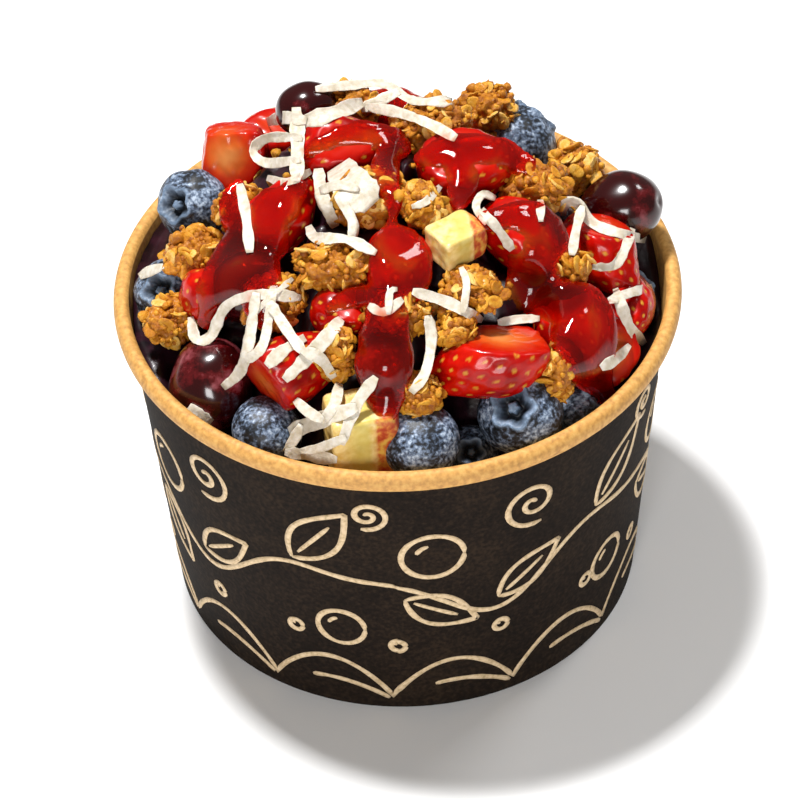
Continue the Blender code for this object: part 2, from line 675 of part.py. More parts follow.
def smooth_line(points, step):
    """Points about a step apart on a smooth curve through the given rows of numbers."""
    rows = np.array(points, float)
    padded = np.vstack([2 * rows[0] - rows[1], rows, 2 * rows[-1] - rows[-2]])
    line = []
    for p0, p1, p2, p3 in zip(padded, padded[1:], padded[2:], padded[3:]):
        count = max(1, round(float(np.hypot(*(p2 - p1)[:2])) / step))
        for t in np.arange(count) / count:
            line.append(0.5 * (2 * p1 + (p2 - p0) * t + (2 * p0 - 5 * p1 + 4 * p2 - p3) * t * t
                               + (3 * p1 - p0 - 3 * p2 + p3) * t ** 3))
    line.append(rows[-1])
    return np.array(line)


def first_hit(tree, eye, ray):
    """How far along a line of sight the tree's surface is, or infinity."""
    far = tree.ray_cast(eye, ray)[3]
    return math.inf if far is None else far


def sight_line(view, a, b):
    """The direction from the eye to a point of the picture plane, given in millimetres."""
    eye, right, up = view_frame(*VIEWS[view])
    return (Vector((0, 0, CUP_HEIGHT)) + right * (a * MM) + up * (b * MM) - eye).normalized()


def lay_sheet(name, view, flat, obstacles, carrier, sink, space):
    """Lays a flat mesh of the picture plane on what the eye sees there.

    Its points are right and up in millimetres, with the thickness as their height. Each is carried
    along its line of sight to the first thing there. The sheet sinks a little into its carrier and
    stays clear of the rest, it is pulled taut over hollows, and points that still touch an obstacle
    come nearer. The upper face is the lower one moved towards the eye by the thickness.
    """
    bmesh.ops.triangulate(flat, faces=flat.faces[:])
    eye = view_frame(*VIEWS[view])[0]
    number = flat.verts.layers.int.new("number")
    rays, thickness, depth = [], [], []
    for index, vertex in enumerate(flat.verts):
        vertex[number] = index
        a, b, thick = vertex.co
        rays.append(sight_line(view, a, b))
        thickness.append(thick)
        around = [sight_line(view, a + space * x, b + space * y) for x, y in RING] + rays[-1:]
        clear = min(first_hit(obstacles, eye, ray) for ray in around)
        depth.append(min(clear, first_hit(carrier, eye, rays[-1]) + sink * MM))
    depth = np.array(depth)
    depth = np.where(np.isinf(depth), depth[np.isfinite(depth)].max(), depth)
    near = [[edge.other_vert(vertex)[number] for edge in vertex.link_edges] for vertex in flat.verts]
    for _ in range(TAUT_STEPS):
        for index, others in enumerate(near):
            if len(others) > 2:
                pulled = TAUT_SHARE * depth[others].mean() + (1 - TAUT_SHARE) * depth[index]
                depth[index] = min(depth[index], pulled)
    for _ in range(CLEARING_ROUNDS):
        for vertex in flat.verts:
            vertex.co = eye + rays[vertex[number]] * depth[vertex[number]]
        pairs = tree_of(flat).overlap(obstacles)
        if not pairs:
            break
        flat.faces.ensure_lookup_table()
        for vertex in {v for face, _ in pairs for v in flat.faces[face].verts}:
            depth[vertex[number]] -= STEP_NEARER
    upper = bmesh.ops.extrude_face_region(flat, geom=flat.faces[:], use_keep_orig=True)
    for vertex in upper["geom"]:
        if isinstance(vertex, bmesh.types.BMVert):
            vertex.co -= rays[vertex[number]] * thickness[vertex[number]]
    bmesh.ops.recalc_face_normals(flat, faces=flat.faces[:])
    new_object(name, to_mesh(flat, name), joining, materials[name])


def shred_outline(shred):
    """A shred of coconut as a flat strip of the picture plane, cut off square."""
    width, *points = shred
    line = smooth_line(points, SHRED_STEP)
    ahead = np.gradient(line, axis=0)
    ahead /= np.linalg.norm(ahead, axis=1)[:, None]
    across = np.stack([-ahead[:, 1], ahead[:, 0]], 1) * width / 2
    columns = (-1, 0, 1) if width > WIDE_SHRED else (-1, 1)
    flat = bmesh.new()
    rows = [
        [flat.verts.new((*(middle + side * out), COCONUT_THICKNESS)) for side in columns]
        for middle, out in zip(line, across)
    ]
    for row, next_row in zip(rows, rows[1:]):
        for k in range(len(columns) - 1):
            flat.faces.new((row[k], row[k + 1], next_row[k + 1], next_row[k]))
    return flat


def pool_depth(a, b, links):
    """How far inside the edge of a pool a point of the picture plane lies, in millimetres."""
    start, end = links[:, 0, :2], links[:, 1, :2]
    way = end - start
    here = np.array((a, b))
    share = np.clip(((here - start) * way).sum(1) / (way ** 2).sum(1), 0, 1)
    reach = (links[:, 0, 2] * (1 - share) + links[:, 1, 2] * share) / 2
    return float((reach - np.linalg.norm(start + way * share[:, None] - here, axis=1)).max())


def pool_outline(streams):
    """A pool of syrup as a flat mesh of the picture plane, rounded up towards its middle."""
    lines = [smooth_line(stream, POOL_CELL) for stream in streams]
    links = np.concatenate([np.stack([line[:-1], line[1:]], 1) for line in lines])
    low = links[..., :2].min((0, 1)) - 2 * POOL_CELL
    high = links[..., :2].max((0, 1)) + 2 * POOL_CELL
    across, upward = np.ceil((high - low) / POOL_CELL).astype(int)
    centre = [[low + POOL_CELL * (np.array((i, j)) + 0.5) for j in range(upward)] for i in range(across)]
    kept = np.array([[pool_depth(*point, links) > -CELL_KEPT for point in row] for row in centre])
    for i in range(across - 1):
        for j in range(upward - 1):
            square = kept[i:i + 2, j:j + 2]
            if square.sum() == 2 and square[0, 0] == square[1, 1]:
                square[:] = True
    flat = bmesh.new()
    corner = {}
    for i, j in np.argwhere(kept):
        places = ((i, j), (i + 1, j), (i + 1, j + 1), (i, j + 1))
        for x, y in places:
            if (x, y) not in corner:
                corner[x, y] = flat.verts.new((*(low + POOL_CELL * np.array((x, y))), 0))
        flat.faces.new([corner[place] for place in places])
    for vertex in flat.verts:
        a, b, _ = vertex.co
        inside = pool_depth(a, b, links)
        if vertex.is_boundary:
            slope = np.array((
                pool_depth(a + PROBE, b, links) - pool_depth(a - PROBE, b, links),
                pool_depth(a, b + PROBE, links) - pool_depth(a, b - PROBE, links),
            ))
            slope /= max(np.linalg.norm(slope), 0.01)
            step = float(np.clip(inside, -EDGE_REACH, EDGE_REACH))
            vertex.co.x -= slope[0] * step
            vertex.co.y -= slope[1] * step
            inside = 0.0
        swell = math.sqrt(min(1.0, max(0.0, inside) / SYRUP_SHOULDER))
        vertex.co.z = SYRUP_EDGE + (SYRUP_MIDDLE - SYRUP_EDGE) * swell
    return flat


def seen_pieces(view, outline, pieces):
    """The pieces that the eye sees where a flat mesh lies, the one seen most first."""
    eye = view_frame(*VIEWS[view])[0]
    seen = {}
    for vertex in outline.verts:
        ray = sight_line(view, vertex.co.x, vertex.co.y)
        far, name = min((first_hit(tree, eye, ray), name) for name, tree in pieces.items())
        if far < math.inf:
            seen[name] = seen.get(name, 0) + 1
    return sorted(seen, key=lambda name: -seen[name])


def all_but(carrier, view, hulls, laid):
    """A search tree of what a strip on this carrier must stay clear of."""
    around = bmesh.new()
    for name, bm in hulls.items():
        if name != carrier:
            add_to(around, bm, 0.0, view)
    for name in sorted({"acai_base", "cup_wall"} | laid - {carrier}):
        neighbour = world_bmesh(bpy.data.objects[name])
        add_to(around, neighbour, GAP, view)
        neighbour.free()
    tree = tree_of(around)
    around.free()
    return tree


def lay_on_the_heap(kind, view, outline, hulls, laid):
    """Lays a flat mesh on the heap and joins it to the piece that carries it.

    The pieces beneath are tried in turn, and each with a few settlings, until the two are one
    closed body and nothing came loose.
    """
    pieces = {}
    for name in hulls:
        own = world_bmesh(bpy.data.objects[name])
        pieces[name] = tree_of(own)
        own.free()
    for name in seen_pieces(view, outline, pieces)[:CARRIERS_TRIED]:
        carrier = bpy.data.objects[name]
        obstacles = all_but(name, view, hulls, laid)
        bare = carrier.data
        volume = volume_of(carrier)
        for sink, space in SETTLINGS:
            carrier.data = bare.copy()
            lay_sheet(kind, view, outline.copy(), obstacles, pieces[name], sink, space)
            dropped = boolean(carrier, "UNION", joining, FLAT_AFTER_UNION)
            grown = volume_of(carrier) > volume
            if grown and is_closed(carrier) and dropped < LARGEST_SCRAP:
                laid.add(name)
                return
        carrier.data = bare


def add_to(target, bm, nearer, view):
    """Adds a copy of a bmesh to another, moved nearer to the eye."""
    eye = view_frame(*VIEWS[view])[0]
    part = bpy.data.meshes.new("part")
    bm.to_mesh(part)
    before = len(target.verts)
    target.from_mesh(part)
    bpy.data.meshes.remove(part)
    target.verts.ensure_lookup_table()
    for vertex in target.verts[before:]:
        vertex.co += (eye - vertex.co).normalized() * nearer


clear_scene()
parts = new_collection("acai_bowl")
cutters = new_collection("cutters")
joining = new_collection("joining")
materials = {
    "kraft": material("kraft_paper", (0.52, 0.36, 0.19), 0.7),
    "acai": material("acai", (0.02, 0.008, 0.015), 0.35),
    "blueberry": material("blueberry", (0.07, 0.10, 0.17), 0.5),
    "grape": material("grape", (0.10, 0.012, 0.02), 0.35),
    "strawberry": material("strawberry", (0.60, 0.02, 0.015), 0.35),
    "apple": material("apple", (0.80, 0.62, 0.30), 0.5),
    "granola": material("granola", (0.55, 0.27, 0.07), 0.8),
    "syrup": material("syrup", (0.35, 0.005, 0.005), 0.1),
    "coconut": material("coconut", (0.88, 0.83, 0.74), 0.6),
}
make_cup()
for row in BLUEBERRIES:
    make_blueberry(*row)
for row in GRAPES:
    make_grape(*row)
for row in STRAWBERRIES:
    make_strawberry(*row)
for row in APPLES:
    make_apple(*row)
random_draw = np.random.default_rng(7)
for row in GRANOLA:
    make_granola(*row, random_draw)
bpy.context.view_layer.update()

hulls = {}
for row in BLUEBERRIES + GRAPES:
    hulls[row[0]] = hull_of(bpy.data.objects[row[0]], CUTTER_MARGIN)
for row in STRAWBERRIES + APPLES + GRANOLA:
    piece = bpy.data.objects[row[0]]
    clear_of(piece, list(hulls), hulls)
    hulls[row[0]] = hull_of(piece, CUTTER_MARGIN)
make_core(hulls)
laid = set()
for view, streams in SYRUP:
    lay_on_the_heap("syrup", view, pool_outline(streams), hulls, laid)
for view, shreds in COCONUT.items():
    for shred in shreds:
        lay_on_the_heap("coconut", view, shred_outline(shred), hulls, laid)
bpy.data.collections.remove(joining)
for thing in parts.objects:
    thing.data.shade_smooth()
    thing.data.set_sharp_from_angle(angle=SHARP)
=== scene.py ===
# %% [markdown]
# # A bowl of acai in a kraft paper cup
# A paper cup holds a dark, thick puree of acai. Berries, grapes, diced strawberries, apple and baked
# granola are heaped on it, with shreds of coconut and poured syrup on top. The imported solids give
# every size and place. This script lays the fine surfaces over them, one kind of piece at a time.

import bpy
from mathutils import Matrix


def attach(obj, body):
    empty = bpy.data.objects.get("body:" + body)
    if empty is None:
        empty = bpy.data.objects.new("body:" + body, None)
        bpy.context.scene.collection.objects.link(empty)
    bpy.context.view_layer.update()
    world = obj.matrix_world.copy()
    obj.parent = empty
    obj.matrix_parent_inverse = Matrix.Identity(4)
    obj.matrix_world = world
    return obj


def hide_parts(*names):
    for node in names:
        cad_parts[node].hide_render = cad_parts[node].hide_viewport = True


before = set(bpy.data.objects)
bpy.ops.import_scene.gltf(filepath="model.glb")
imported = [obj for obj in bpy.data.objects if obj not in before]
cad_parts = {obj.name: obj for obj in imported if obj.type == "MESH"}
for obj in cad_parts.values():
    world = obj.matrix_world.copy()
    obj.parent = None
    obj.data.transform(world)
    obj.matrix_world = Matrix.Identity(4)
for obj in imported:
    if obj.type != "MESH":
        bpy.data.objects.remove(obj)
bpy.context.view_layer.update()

# %% [markdown]
# ## Sizes
# The cup is a common 480 ml paper bowl, 115 mm across its rim. All tables are in millimetres, with
# places measured from the middle of the rim: x to the right, y to the back and z up.

# %% Sizes of the cup and the tables of the toppings
import math

import bpy
import numpy as np
from mathutils import Matrix, Vector
from mathutils.bvhtree import BVHTree

MM = 0.001
CUP_HEIGHT = 74.0
RIM_RADIUS = 57.5
FOOT_RADIUS = 48.0
PAPER = 0.6
ROLL_WIDTH = 3.4
ROLL_HEIGHT = 4.5
FOOT_HEM = 1.8
BOTTOM_RECESS = 8.0
WALL_TOP = CUP_HEIGHT - ROLL_HEIGHT
WALL_TOP_RADIUS = RIM_RADIUS - ROLL_WIDTH + PAPER

# Name, place, radius and the way its crown points
BLUEBERRIES = (
    ("blueberry_back_left", (-41, 18, 7), 7.4, (-0.55, -0.6, 0.55)),
    ("blueberry_left", (-46, -1, 0), 7.2, (-0.3, -0.6, 0.7)),
    ("blueberry_back", (25.5, 35.5, 5.3), 8.6, (0.5, 0.5, 0.4)),
    ("blueberry_front_left", (-26.8, -37.6, -4.6), 7.2, (-0.5, 0.2, -0.8)),
    ("blueberry_front", (3.4, -45.2, -1.9), 7.8, (0.2, 0.5, -0.8)),
    ("blueberry_front_right", (23.3, -38.2, -1.4), 8.7, (-0.23, -0.61, 0.76)),
    ("blueberry_right_low", (35, -31, -10), 6.2, (0.6, 0.2, 0.6)),
    ("blueberry_front_low", (13.3, -38.6, -11.6), 5.5, (0.0, -0.7, 0.7)),
    ("blueberry_right", (46.5, -1, -6), 6.0, (0.6, 0.2, 0.7)),
    ("blueberry_behind_left", (-13, 44, 0), 7.4, (-0.2, 0.6, 0.7)),
    ("blueberry_behind_right", (12, 45.5, -1), 7.0, (0.5, 0.7, 0.2)),
)

# Name, place, radius, length and the way its long axis points
GRAPES = (
    ("grape_left", (-37.8, -25, -3.2), 8.2, 19.6, (0.1, 0.5, 0.85)),
    ("grape_right", (46, 10.5, 8.5), 7.4, 17.0, (0.8, -0.2, 0.3)),
    ("grape_under_syrup", (-29.2, -14.1, 12.4), 7.0, 16.0, (0.7, -0.4, 0.6)),
    ("grape_front", (-3.2, -37.2, 11), 5.9, 13.0, (0.2, -0.6, 0.8)),
    ("grape_top_left", (-17, 25, 25.5), 5.6, 13.0, (0.9, 0.3, 0.1)),
)

# Name, place, length, width, the way the tip points, and the knife cuts: the way each faces and how
# far it lies from the middle
STRAWBERRIES = (
    ("strawberry_back_left", (-32.5, 26.5, 12), 21, 18, (0.3, 0.2, -0.9),
     (((-0.25, -0.8, 0.5), 3.5), ((-0.95, 0, 0.2), 6), ((-0.1, 0.3, 0.95), 6.2))),
    ("strawberry_behind_left", (-23, 33, 12), 18, 14, (0.9, 0.3, 0.1), (((0, -0.2, 0.95), 4),)),
    ("strawberry_front_left", (-21.7, -32, 7.5), 24, 19, (0.7, 0.2, 0.2),
     (((-0.7, -0.55, -0.2), 6), ((-0.2, 0.8, 0.5), 5))),
    ("strawberry_front", (17.7, -33.5, 9.3), 27, 20, (-0.93, -0.2, -0.2),
     (((0.12, 0.35, 0.92), 4), ((0.95, 0.2, -0.1), 11))),
    ("strawberry_right", (41.5, -4, 9), 21, 17, (0.5, -0.7, -0.4), (((0.2, 0.3, 0.9), 5.5),)),
    ("strawberry_right_rim", (45.5, -11, 1), 18, 15, (0.2, -0.9, 0.2), (((-0.8, 0.2, 0.5), 4),)),
    ("strawberry_right_front", (41, -21.5, -1), 19, 17, (0.4, 0.7, -0.5),
     (((0.1, -0.75, 0.6), 2.5), ((-0.9, 0, 0.3), 6))),
    ("strawberry_right_low", (34.5, -24.5, 6.5), 21, 17, (0.3, -0.9, -0.3), (((-0.3, 0.2, 0.9), 5.5),)),
    ("strawberry_top", (-9.4, 12.2, 25), 20, 17, (0.9, -0.2, 0.2), (((0, -0.5, 0.85), 5.5),)),
    ("strawberry_centre", (-0.3, -20.2, 20.5), 19, 16, (-0.2, -0.9, -0.3), (((0.3, 0, 0.95), 5.5),)),
    ("strawberry_left_upper", (-22, -1, 20.5), 19, 15, (0.6, 0.7, 0.3), (((-0.3, -0.3, 0.9), 5),)),
    ("strawberry_left", (-38, -10, 7), 19, 14, (-0.3, 0.5, -0.8), (((0.2, 0.8, 0.5), 4),)),
    ("strawberry_upper", (15.5, 6, 25), 22, 18, (0.9, 0.3, -0.2), (((0, -0.2, 0.95), 5),)),
    ("strawberry_right_upper", (25, -9.6, 19), 19, 15, (0.7, -0.6, -0.4), (((0.2, -0.2, 0.95), 5),)),
    ("strawberry_small_front", (-11.4, -25.7, 15), 14, 12, (0.5, -0.7, 0.3), (((0, -0.3, 0.9), 4.5),)),
    ("strawberry_behind", (1, 36, 13), 21, 18, (0.6, 0.5, 0.4), (((0.2, 0.7, 0.7), 4.5),)),
    ("strawberry_behind_right", (12, 27, 12.5), 15, 13, (0.5, 0.7, 0.2), (((0.3, 0.7, 0.6), 4),)),
)

# Name, place, width, depth, height and the turn about the upright axis in degrees
APPLES = (
    ("apple_front", (-8.8, -44, -1), 12, 11, 17, 12),
    ("apple_upper", (11.5, -15.5, 24), 9, 8, 7, 35),
)

# Name, place, width, depth, height and the turn about the upright axis in degrees
GRANOLA = (
    ("granola_left_top", (-40, -1.6, 11.2), 14, 12, 9, 20),
    ("granola_left_rim", (-45.6, -12, 2.8), 12, 12, 10, 60),
    ("granola_left_upper", (-30.5, 4.5, 17), 13, 11, 10, 10),
    ("granola_centre_left", (-12.1, -18.4, 21.5), 18, 12, 10, -10),
    ("granola_left", (-24.2, -21.5, 15.2), 14, 13, 11, 35),
    ("granola_small_front", (-12.4, -34.5, 12.5), 9, 8, 14, 15),
    ("granola_centre", (-0.2, -30, 18), 14, 11, 10, 0),
    ("granola_front_right", (11, -31.4, 14.8), 9, 8, 8, 50),
    ("granola_centre_top", (5.5, -8, 27), 9, 11, 10, 20),
    ("granola_middle", (-5.5, -3.5, 26), 19, 14, 11, 8),
    ("granola_top", (7.9, 18.6, 25), 18, 14, 12, 15),
    ("granola_top_left", (-8.1, 27, 23.5), 14, 11, 11, -20),
    ("granola_back_right", (28.3, 3.5, 20.8), 16, 13, 10, 5),
    ("granola_right_back", (37, 20, 11), 12, 12, 11, 40),
    ("granola_right_centre", (14.5, -24, 18.4), 14, 11, 9, -25),
    ("granola_right", (34, -14, 14.6), 9, 9, 9, 70),
    ("granola_right_front", (30.3, -36, 5.5), 8, 8, 12, 10),
    ("granola_front", (3.4, -41.5, 7.4), 10, 9, 9, 30),
    ("granola_behind", (-12, 37, 12), 13, 12, 11, 35),
    ("granola_behind_right", (20, 36, 14), 13, 12, 11, 60),
    ("granola_behind_left", (-31, 36, 3), 13, 12, 11, 25),
    ("granola_behind_low", (36, 33, 1), 11, 11, 10, 15),
)

# The side each pool of syrup is seen from and its streams. A stream is a line of points in the picture
# plane, as right, up and width
SYRUP = (
    ("front", (
        ((-16.5, 27, 3), (-10.5, 29.5, 4.5), (-4, 30, 6), (1, 27, 5.5)),
        ((0, 28.5, 5.5), (-1.5, 22.5, 5.5), (0, 16.5, 3.5), (-0.5, 11.5, 3), (0, 6.5, 10),
         (0.5, 2, 12.5), (-1, -3, 6)),
        ((-2.5, -0.5, 5.5), (-8.5, -3, 4), (-13.5, -5, 3)),
        ((-1, -1.5, 7), (-2.5, -8.5, 9.5), (-3, -14.5, 11.5), (-3, -20.5, 9.5), (-3.5, -25.5, 5.5)),
    )),
    ("front", (
        ((6.5, 25, 4), (12.5, 26, 7), (20, 25.5, 7), (27.5, 22.5, 3.5)),
        ((12.5, 26, 6), (14, 21, 7), (13, 15.5, 3.5)),
    )),
    ("front", (
        ((19, 11.5, 4), (25.5, 12, 7), (30, 9, 8), (33, 5.5, 4)),
        ((30, 8, 7), (28, 3, 9.5), (27.5, -1.5, 11), (30.5, -6, 8)),
        ((29.5, -4, 8), (35.5, -7, 11.5), (37.5, -12, 13.5), (38.5, -18.5, 9), (41.5, -24, 4)),
    )),
    ("front", (
        ((-19, 19.5, 4), (-23, 16.5, 8), (-27, 11, 11.5), (-31.5, 5, 12), (-36, -0.5, 9), (-38.5, -6, 4)),
        ((-29.5, 10.5, 8), (-33, 17, 5.5), (-31, 20.5, 3)),
        ((-29.5, 7.5, 10), (-28, 0.5, 10), (-27.5, -6, 5)),
    )),
    ("back", (
        ((3, -9, 5), (0, -14, 9), (-3, -20, 8), (-6, -26, 4)),
        ((0, -14, 6), (6, -19, 6), (9, -24, 4)),
    )),
)

# The shreds of coconut, by the side each is seen from: a width and a line of points in the picture plane
COCONUT = {
    "front": (
        (2.0, (-15, 39.5), (-8, 40), (-1, 40), (4.5, 36.5), (12.5, 36)),
        (2.2, (-6, 35), (-2.5, 36.5), (2, 38.5)),
        (2.2, (-4.5, 35.5), (2, 34), (8, 31.5), (13, 28.5)),
        (3.0, (-20, 32.5), (-13.5, 34), (-5.5, 36.5)),
        (3.0, (-19, 36), (-19, 29.5), (-19.5, 21)),
        (2.6, (-25, 33.2), (-21.5, 34), (-17, 33.2)),
        (2.0, (-18, 29.8), (-25, 30), (-28, 27.5), (-25.5, 25), (-18.5, 25.4)),
        (2.0, (-25.5, 22), (-21.5, 21), (-16.5, 23)),
        (7.5, (-11, 24), (-8.5, 20), (-4.5, 15.5)),
        (2.6, (-15, 23.5), (-14.5, 18), (-12, 11.5)),
        (2.2, (-11.5, 18), (-8.5, 12.5), (-9, 8)),
        (2.2, (-17.5, 12), (-16, 9.5), (-10, 9), (-4, 6)),
        (2.0, (-15, 19), (-11, 20), (-7, 19)),
        (2.2, (-31, 21), (-30, 14.5), (-29.5, 7)),
        (2.2, (-42, -5.5), (-41, -10), (-38, -9.5), (-34.5, -3.5), (-27.5, -1.5), (-19.5, -2.5)),
        (1.2, (-31.5, -7.5), (-26, -2.5), (-21, 1.5)),
        (2.2, (-28.5, -1), (-30.5, -11.5), (-32.5, -17), (-36, -20)),
        (2.0, (-25, 0), (-27.5, -11.5), (-31.5, -15)),
        (2.8, (-11.5, -7), (-16.5, -12.5), (-23.5, -19)),
        (2.6, (-27, -16), (-23.5, -13), (-19, -10.5)),
        (2.4, (-26, -3), (-22.5, -9), (-19.5, -13.5)),
        (2.4, (-20, -13), (-16, -15), (-13.5, -19)),
        (2.4, (-5, -19), (-9.5, -25), (-12.5, -32.5)),
        (3.4, (-23, -29.5), (-15.5, -27), (-9, -25)),
        (2.2, (-12.5, -20), (-13.5, -24), (-16, -27.5)),
        (2.2, (-21.5, -23), (-19, -25.5), (-16, -27.5)),
        (2.0, (-20.5, -28), (-22, -31), (-24, -33.5)),
        (2.4, (-24, -33.5), (-19, -34.5), (-13.5, -35.5)),
        (2.0, (-21, -33.5), (-17, -33), (-11.5, -31)),
        (2.2, (6, -7), (6.5, -12), (5, -18.5), (2, -22.5)),
        (2.2, (3, -2), (10, -4.5), (17, -8.5)),
        (1.6, (13, 2.5), (14, -1), (13, -7)),
        (1.8, (20, -9), (24.5, -8.5), (28.5, -8.5)),
        (2.0, (-6, -4.5), (-3, -6), (1, -3.5)),
        (1.4, (-2, -6.5), (-1.5, -2), (0, -1.5)),
        (1.6, (3.5, 15), (6.5, 16), (9.5, 19)),
        (1.8, (20.5, 16), (18, 17), (16.5, 14.5), (18.5, 11)),
        (2.0, (17.5, 14), (21, 9.5), (23.5, 5.5)),
        (1.8, (29.5, 15.5), (29.5, 14), (29.5, 11)),
        (2.0, (34, 12), (34.5, 14.5), (37, 14.5), (40.5, 10), (50.5, 6.5)),
        (1.8, (38, 14), (36.5, 9), (35.5, 4)),
        (2.0, (39.5, 1.5), (44.5, 2), (48, 9)),
        (2.0, (42.5, -5.5), (47, -4), (51.5, -3)),
        (2.2, (44, -3), (46.5, -10.5), (49.5, -14.5)),
        (2.2, (40.5, -19), (44, -17), (46.5, -14.5)),
        (2.2, (-52, 3), (-50, 4), (-47, 5)),
        (2.2, (-43, -23.5), (-41, -25), (-38.5, -27)),
    ),
    "back": (
        (2.2, (-31, -24), (-24, -27.5), (-15, -30)),
        (2.0, (-26, -24), (-22.5, -29), (-23, -35)),
        (2.4, (15, -16), (22, -20), (29, -23)),
        (2.0, (21, -14), (23, -20), (21, -27)),
    ),
}
print("toppings:", len(BLUEBERRIES) + len(GRAPES) + len(STRAWBERRIES) + len(APPLES) + len(GRANOLA))

# %% [markdown]
# ## Helpers for surfaces
# A ball is the start of most fruit: a grid of directions over the sphere, which each fruit then
# stretches. Noise that is a sum of plane waves gives uneven skins without any picture.


# %% Grids of faces
def ring_quads(rings, columns, first=0):
    """Faces between closed rings of points, which are numbered from first on, ring by ring."""
    i = first + np.arange(rings - 1)[:, None] * columns
    j = np.arange(columns)[None, :]
    k = (j + 1) % columns
    return np.stack([i + j, i + columns + j, i + columns + k, i + k], -1).reshape(-1, 4)


def ball(rows, columns):
    """Directions over the sphere with the faces between them.

    At polar angle t and turn p the direction is (sin t cos p, sin t sin p, cos t). The poles are one
    point each.
    """
    t = np.linspace(0, np.pi, rows + 2)[1:-1, None]
    p = np.arange(columns)[None, :] * 2 * np.pi / columns
    rings = np.stack([np.sin(t) * np.cos(p), np.sin(t) * np.sin(p), np.cos(t) + 0 * p], -1)
    directions = np.vstack([[(0, 0, 1)], rings.reshape(-1, 3), [(0, 0, -1)]])
    j = np.arange(columns)
    k = (j + 1) % columns
    last = rows * columns + 1
    low = last - columns
    top = np.stack([0 * j, 1 + j, 1 + k], -1)
    bottom = np.stack([0 * j + last, low + k, low + j], -1)
    return directions, [ring_quads(rows, columns, 1), np.vstack([top, bottom])]


# %% Soft noise and turns
def ripple(points, size, seed, waves=24):
    """Uneven relief between about -1 and 1, over points with two or three coordinates.

    It is sqrt(2 / N) times the sum of N waves sin(2 pi k.p / size + phase), with k random directions.
    """
    draw = np.random.default_rng(seed)
    k = draw.normal(size=(waves, 3))
    k *= draw.uniform(0.7, 1.4, (waves, 1)) / np.linalg.norm(k, axis=1)[:, None]
    phase = draw.uniform(0, 2 * np.pi, waves)
    turns = 2 * np.pi * points @ k[:, :points.shape[-1]].T / size + phase
    return np.sqrt(2 / waves) * np.sin(turns).sum(-1) / 1.6


def unit(rows):
    """Each row as a direction of length 1."""
    return rows / np.linalg.norm(rows, axis=-1)[..., None]


def turned(points, axis):
    """The points with their own z turned to point along the axis."""
    turn = np.array(Vector(axis).to_track_quat("Z", "Y").to_matrix())
    return points @ turn.T


def turned_flat(points, degrees):
    """The points turned about the upright axis."""
    c, n = math.cos(math.radians(degrees)), math.sin(math.radians(degrees))
    return points @ np.array([[c, n, 0], [-n, c, 0], [0, 0, 1]])


def smooth_step(low, high, value):
    """0 below low, 1 above high, and s * s * (3 - 2 s) between."""
    s = np.clip((value - low) / (high - low), 0, 1)
    return s * s * (3 - 2 * s)


def left_of(path):
    """The direction to the left of a flat path, at each of its points."""
    ahead = np.gradient(path, axis=0)
    ahead /= np.linalg.norm(ahead, axis=1)[:, None] + 1e-9
    return np.stack([-ahead[:, 1], ahead[:, 0]], 1)


# %% A mesh from arrays
heap = {"points": [], "faces": [], "slots": [], "count": 0}


def add_piece(name, points, faces, material, nodes, slot, attributes=None, in_heap=True):
    """Makes a piece from points in millimetres above the rim's middle and lists of face arrays."""
    mesh = bpy.data.meshes.new(name)
    place = (np.asarray(points) + (0, 0, CUP_HEIGHT)) * MM
    sides = [face for group in faces for face in group.tolist()]
    mesh.from_pydata(place.tolist(), [], sides)
    for key, values in (attributes or {}).items():
        layer = mesh.attributes.new(key, "FLOAT", "POINT")
        layer.data.foreach_set("value", np.asarray(values, np.float32))
    mesh.shade_smooth()
    mesh.materials.append(material)
    thing = bpy.data.objects.new(name, mesh)
    bpy.context.scene.collection.objects.link(thing)
    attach(thing, "root")
    if nodes:
        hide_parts(*nodes)
    if in_heap:
        heap["faces"] += [[corner + heap["count"] for corner in side] for side in sides]
        heap["slots"] += [slot] * len(sides)
        heap["points"] += place.tolist()
        heap["count"] += len(place)
    return thing


def heap_surface():
    """All that lies in the cup so far, ready for rays."""
    return BVHTree.FromPolygons(heap["points"], heap["faces"])


# %% [markdown]
# ## Helpers for finishes
# Every colour is written as the sRGB value a maker would pick, and one function turns it to linear
# light. Patterns run in Object coordinates, which are metres here, so a pattern of size s
# millimetres has the scale 1000 / s.


# %% Colours and shader nodes
def srgb(code, alpha=1.0):
    """A hex colour in linear light: ((c + 0.055) / 1.055) ** 2.4 above 0.04045, and c / 12.92 below."""
    values = [int(code[k:k + 2], 16) / 255 for k in (1, 3, 5)]
    return (*[((c + 0.055) / 1.055) ** 2.4 if c > 0.04045 else c / 12.92 for c in values], alpha)


def add_node(tree, kind, settings=None, links=None, stops=()):
    """Adds a shader node, with settings for its sockets or properties, links to feed it and ramp stops."""
    node = tree.nodes.new(kind)
    for key, value in (settings or {}).items():
        if isinstance(key, int) or key in node.inputs:
            node.inputs[key].default_value = value
        else:
            setattr(node, key, value)
    for key, output in (links or {}).items():
        tree.links.new(output, node.inputs[key])
    for number, (position, code) in enumerate(stops):
        elements = node.color_ramp.elements
        stop = elements[number] if number < 2 else elements.new(position)
        stop.position = position
        stop.color = srgb(code) if isinstance(code, str) else (code, code, code, 1)
    return node


def new_material(name, **settings):
    """A Principled material, with its tree, its shader and the Object coordinates."""
    material = bpy.data.materials.new(name)
    material.use_nodes = True
    tree = material.node_tree
    shader = tree.nodes["Principled BSDF"]
    for key, value in settings.items():
        shader.inputs[key.replace("_", " ")].default_value = value
    return material, tree, shader, tree.nodes.new("ShaderNodeTexCoord").outputs["Object"]


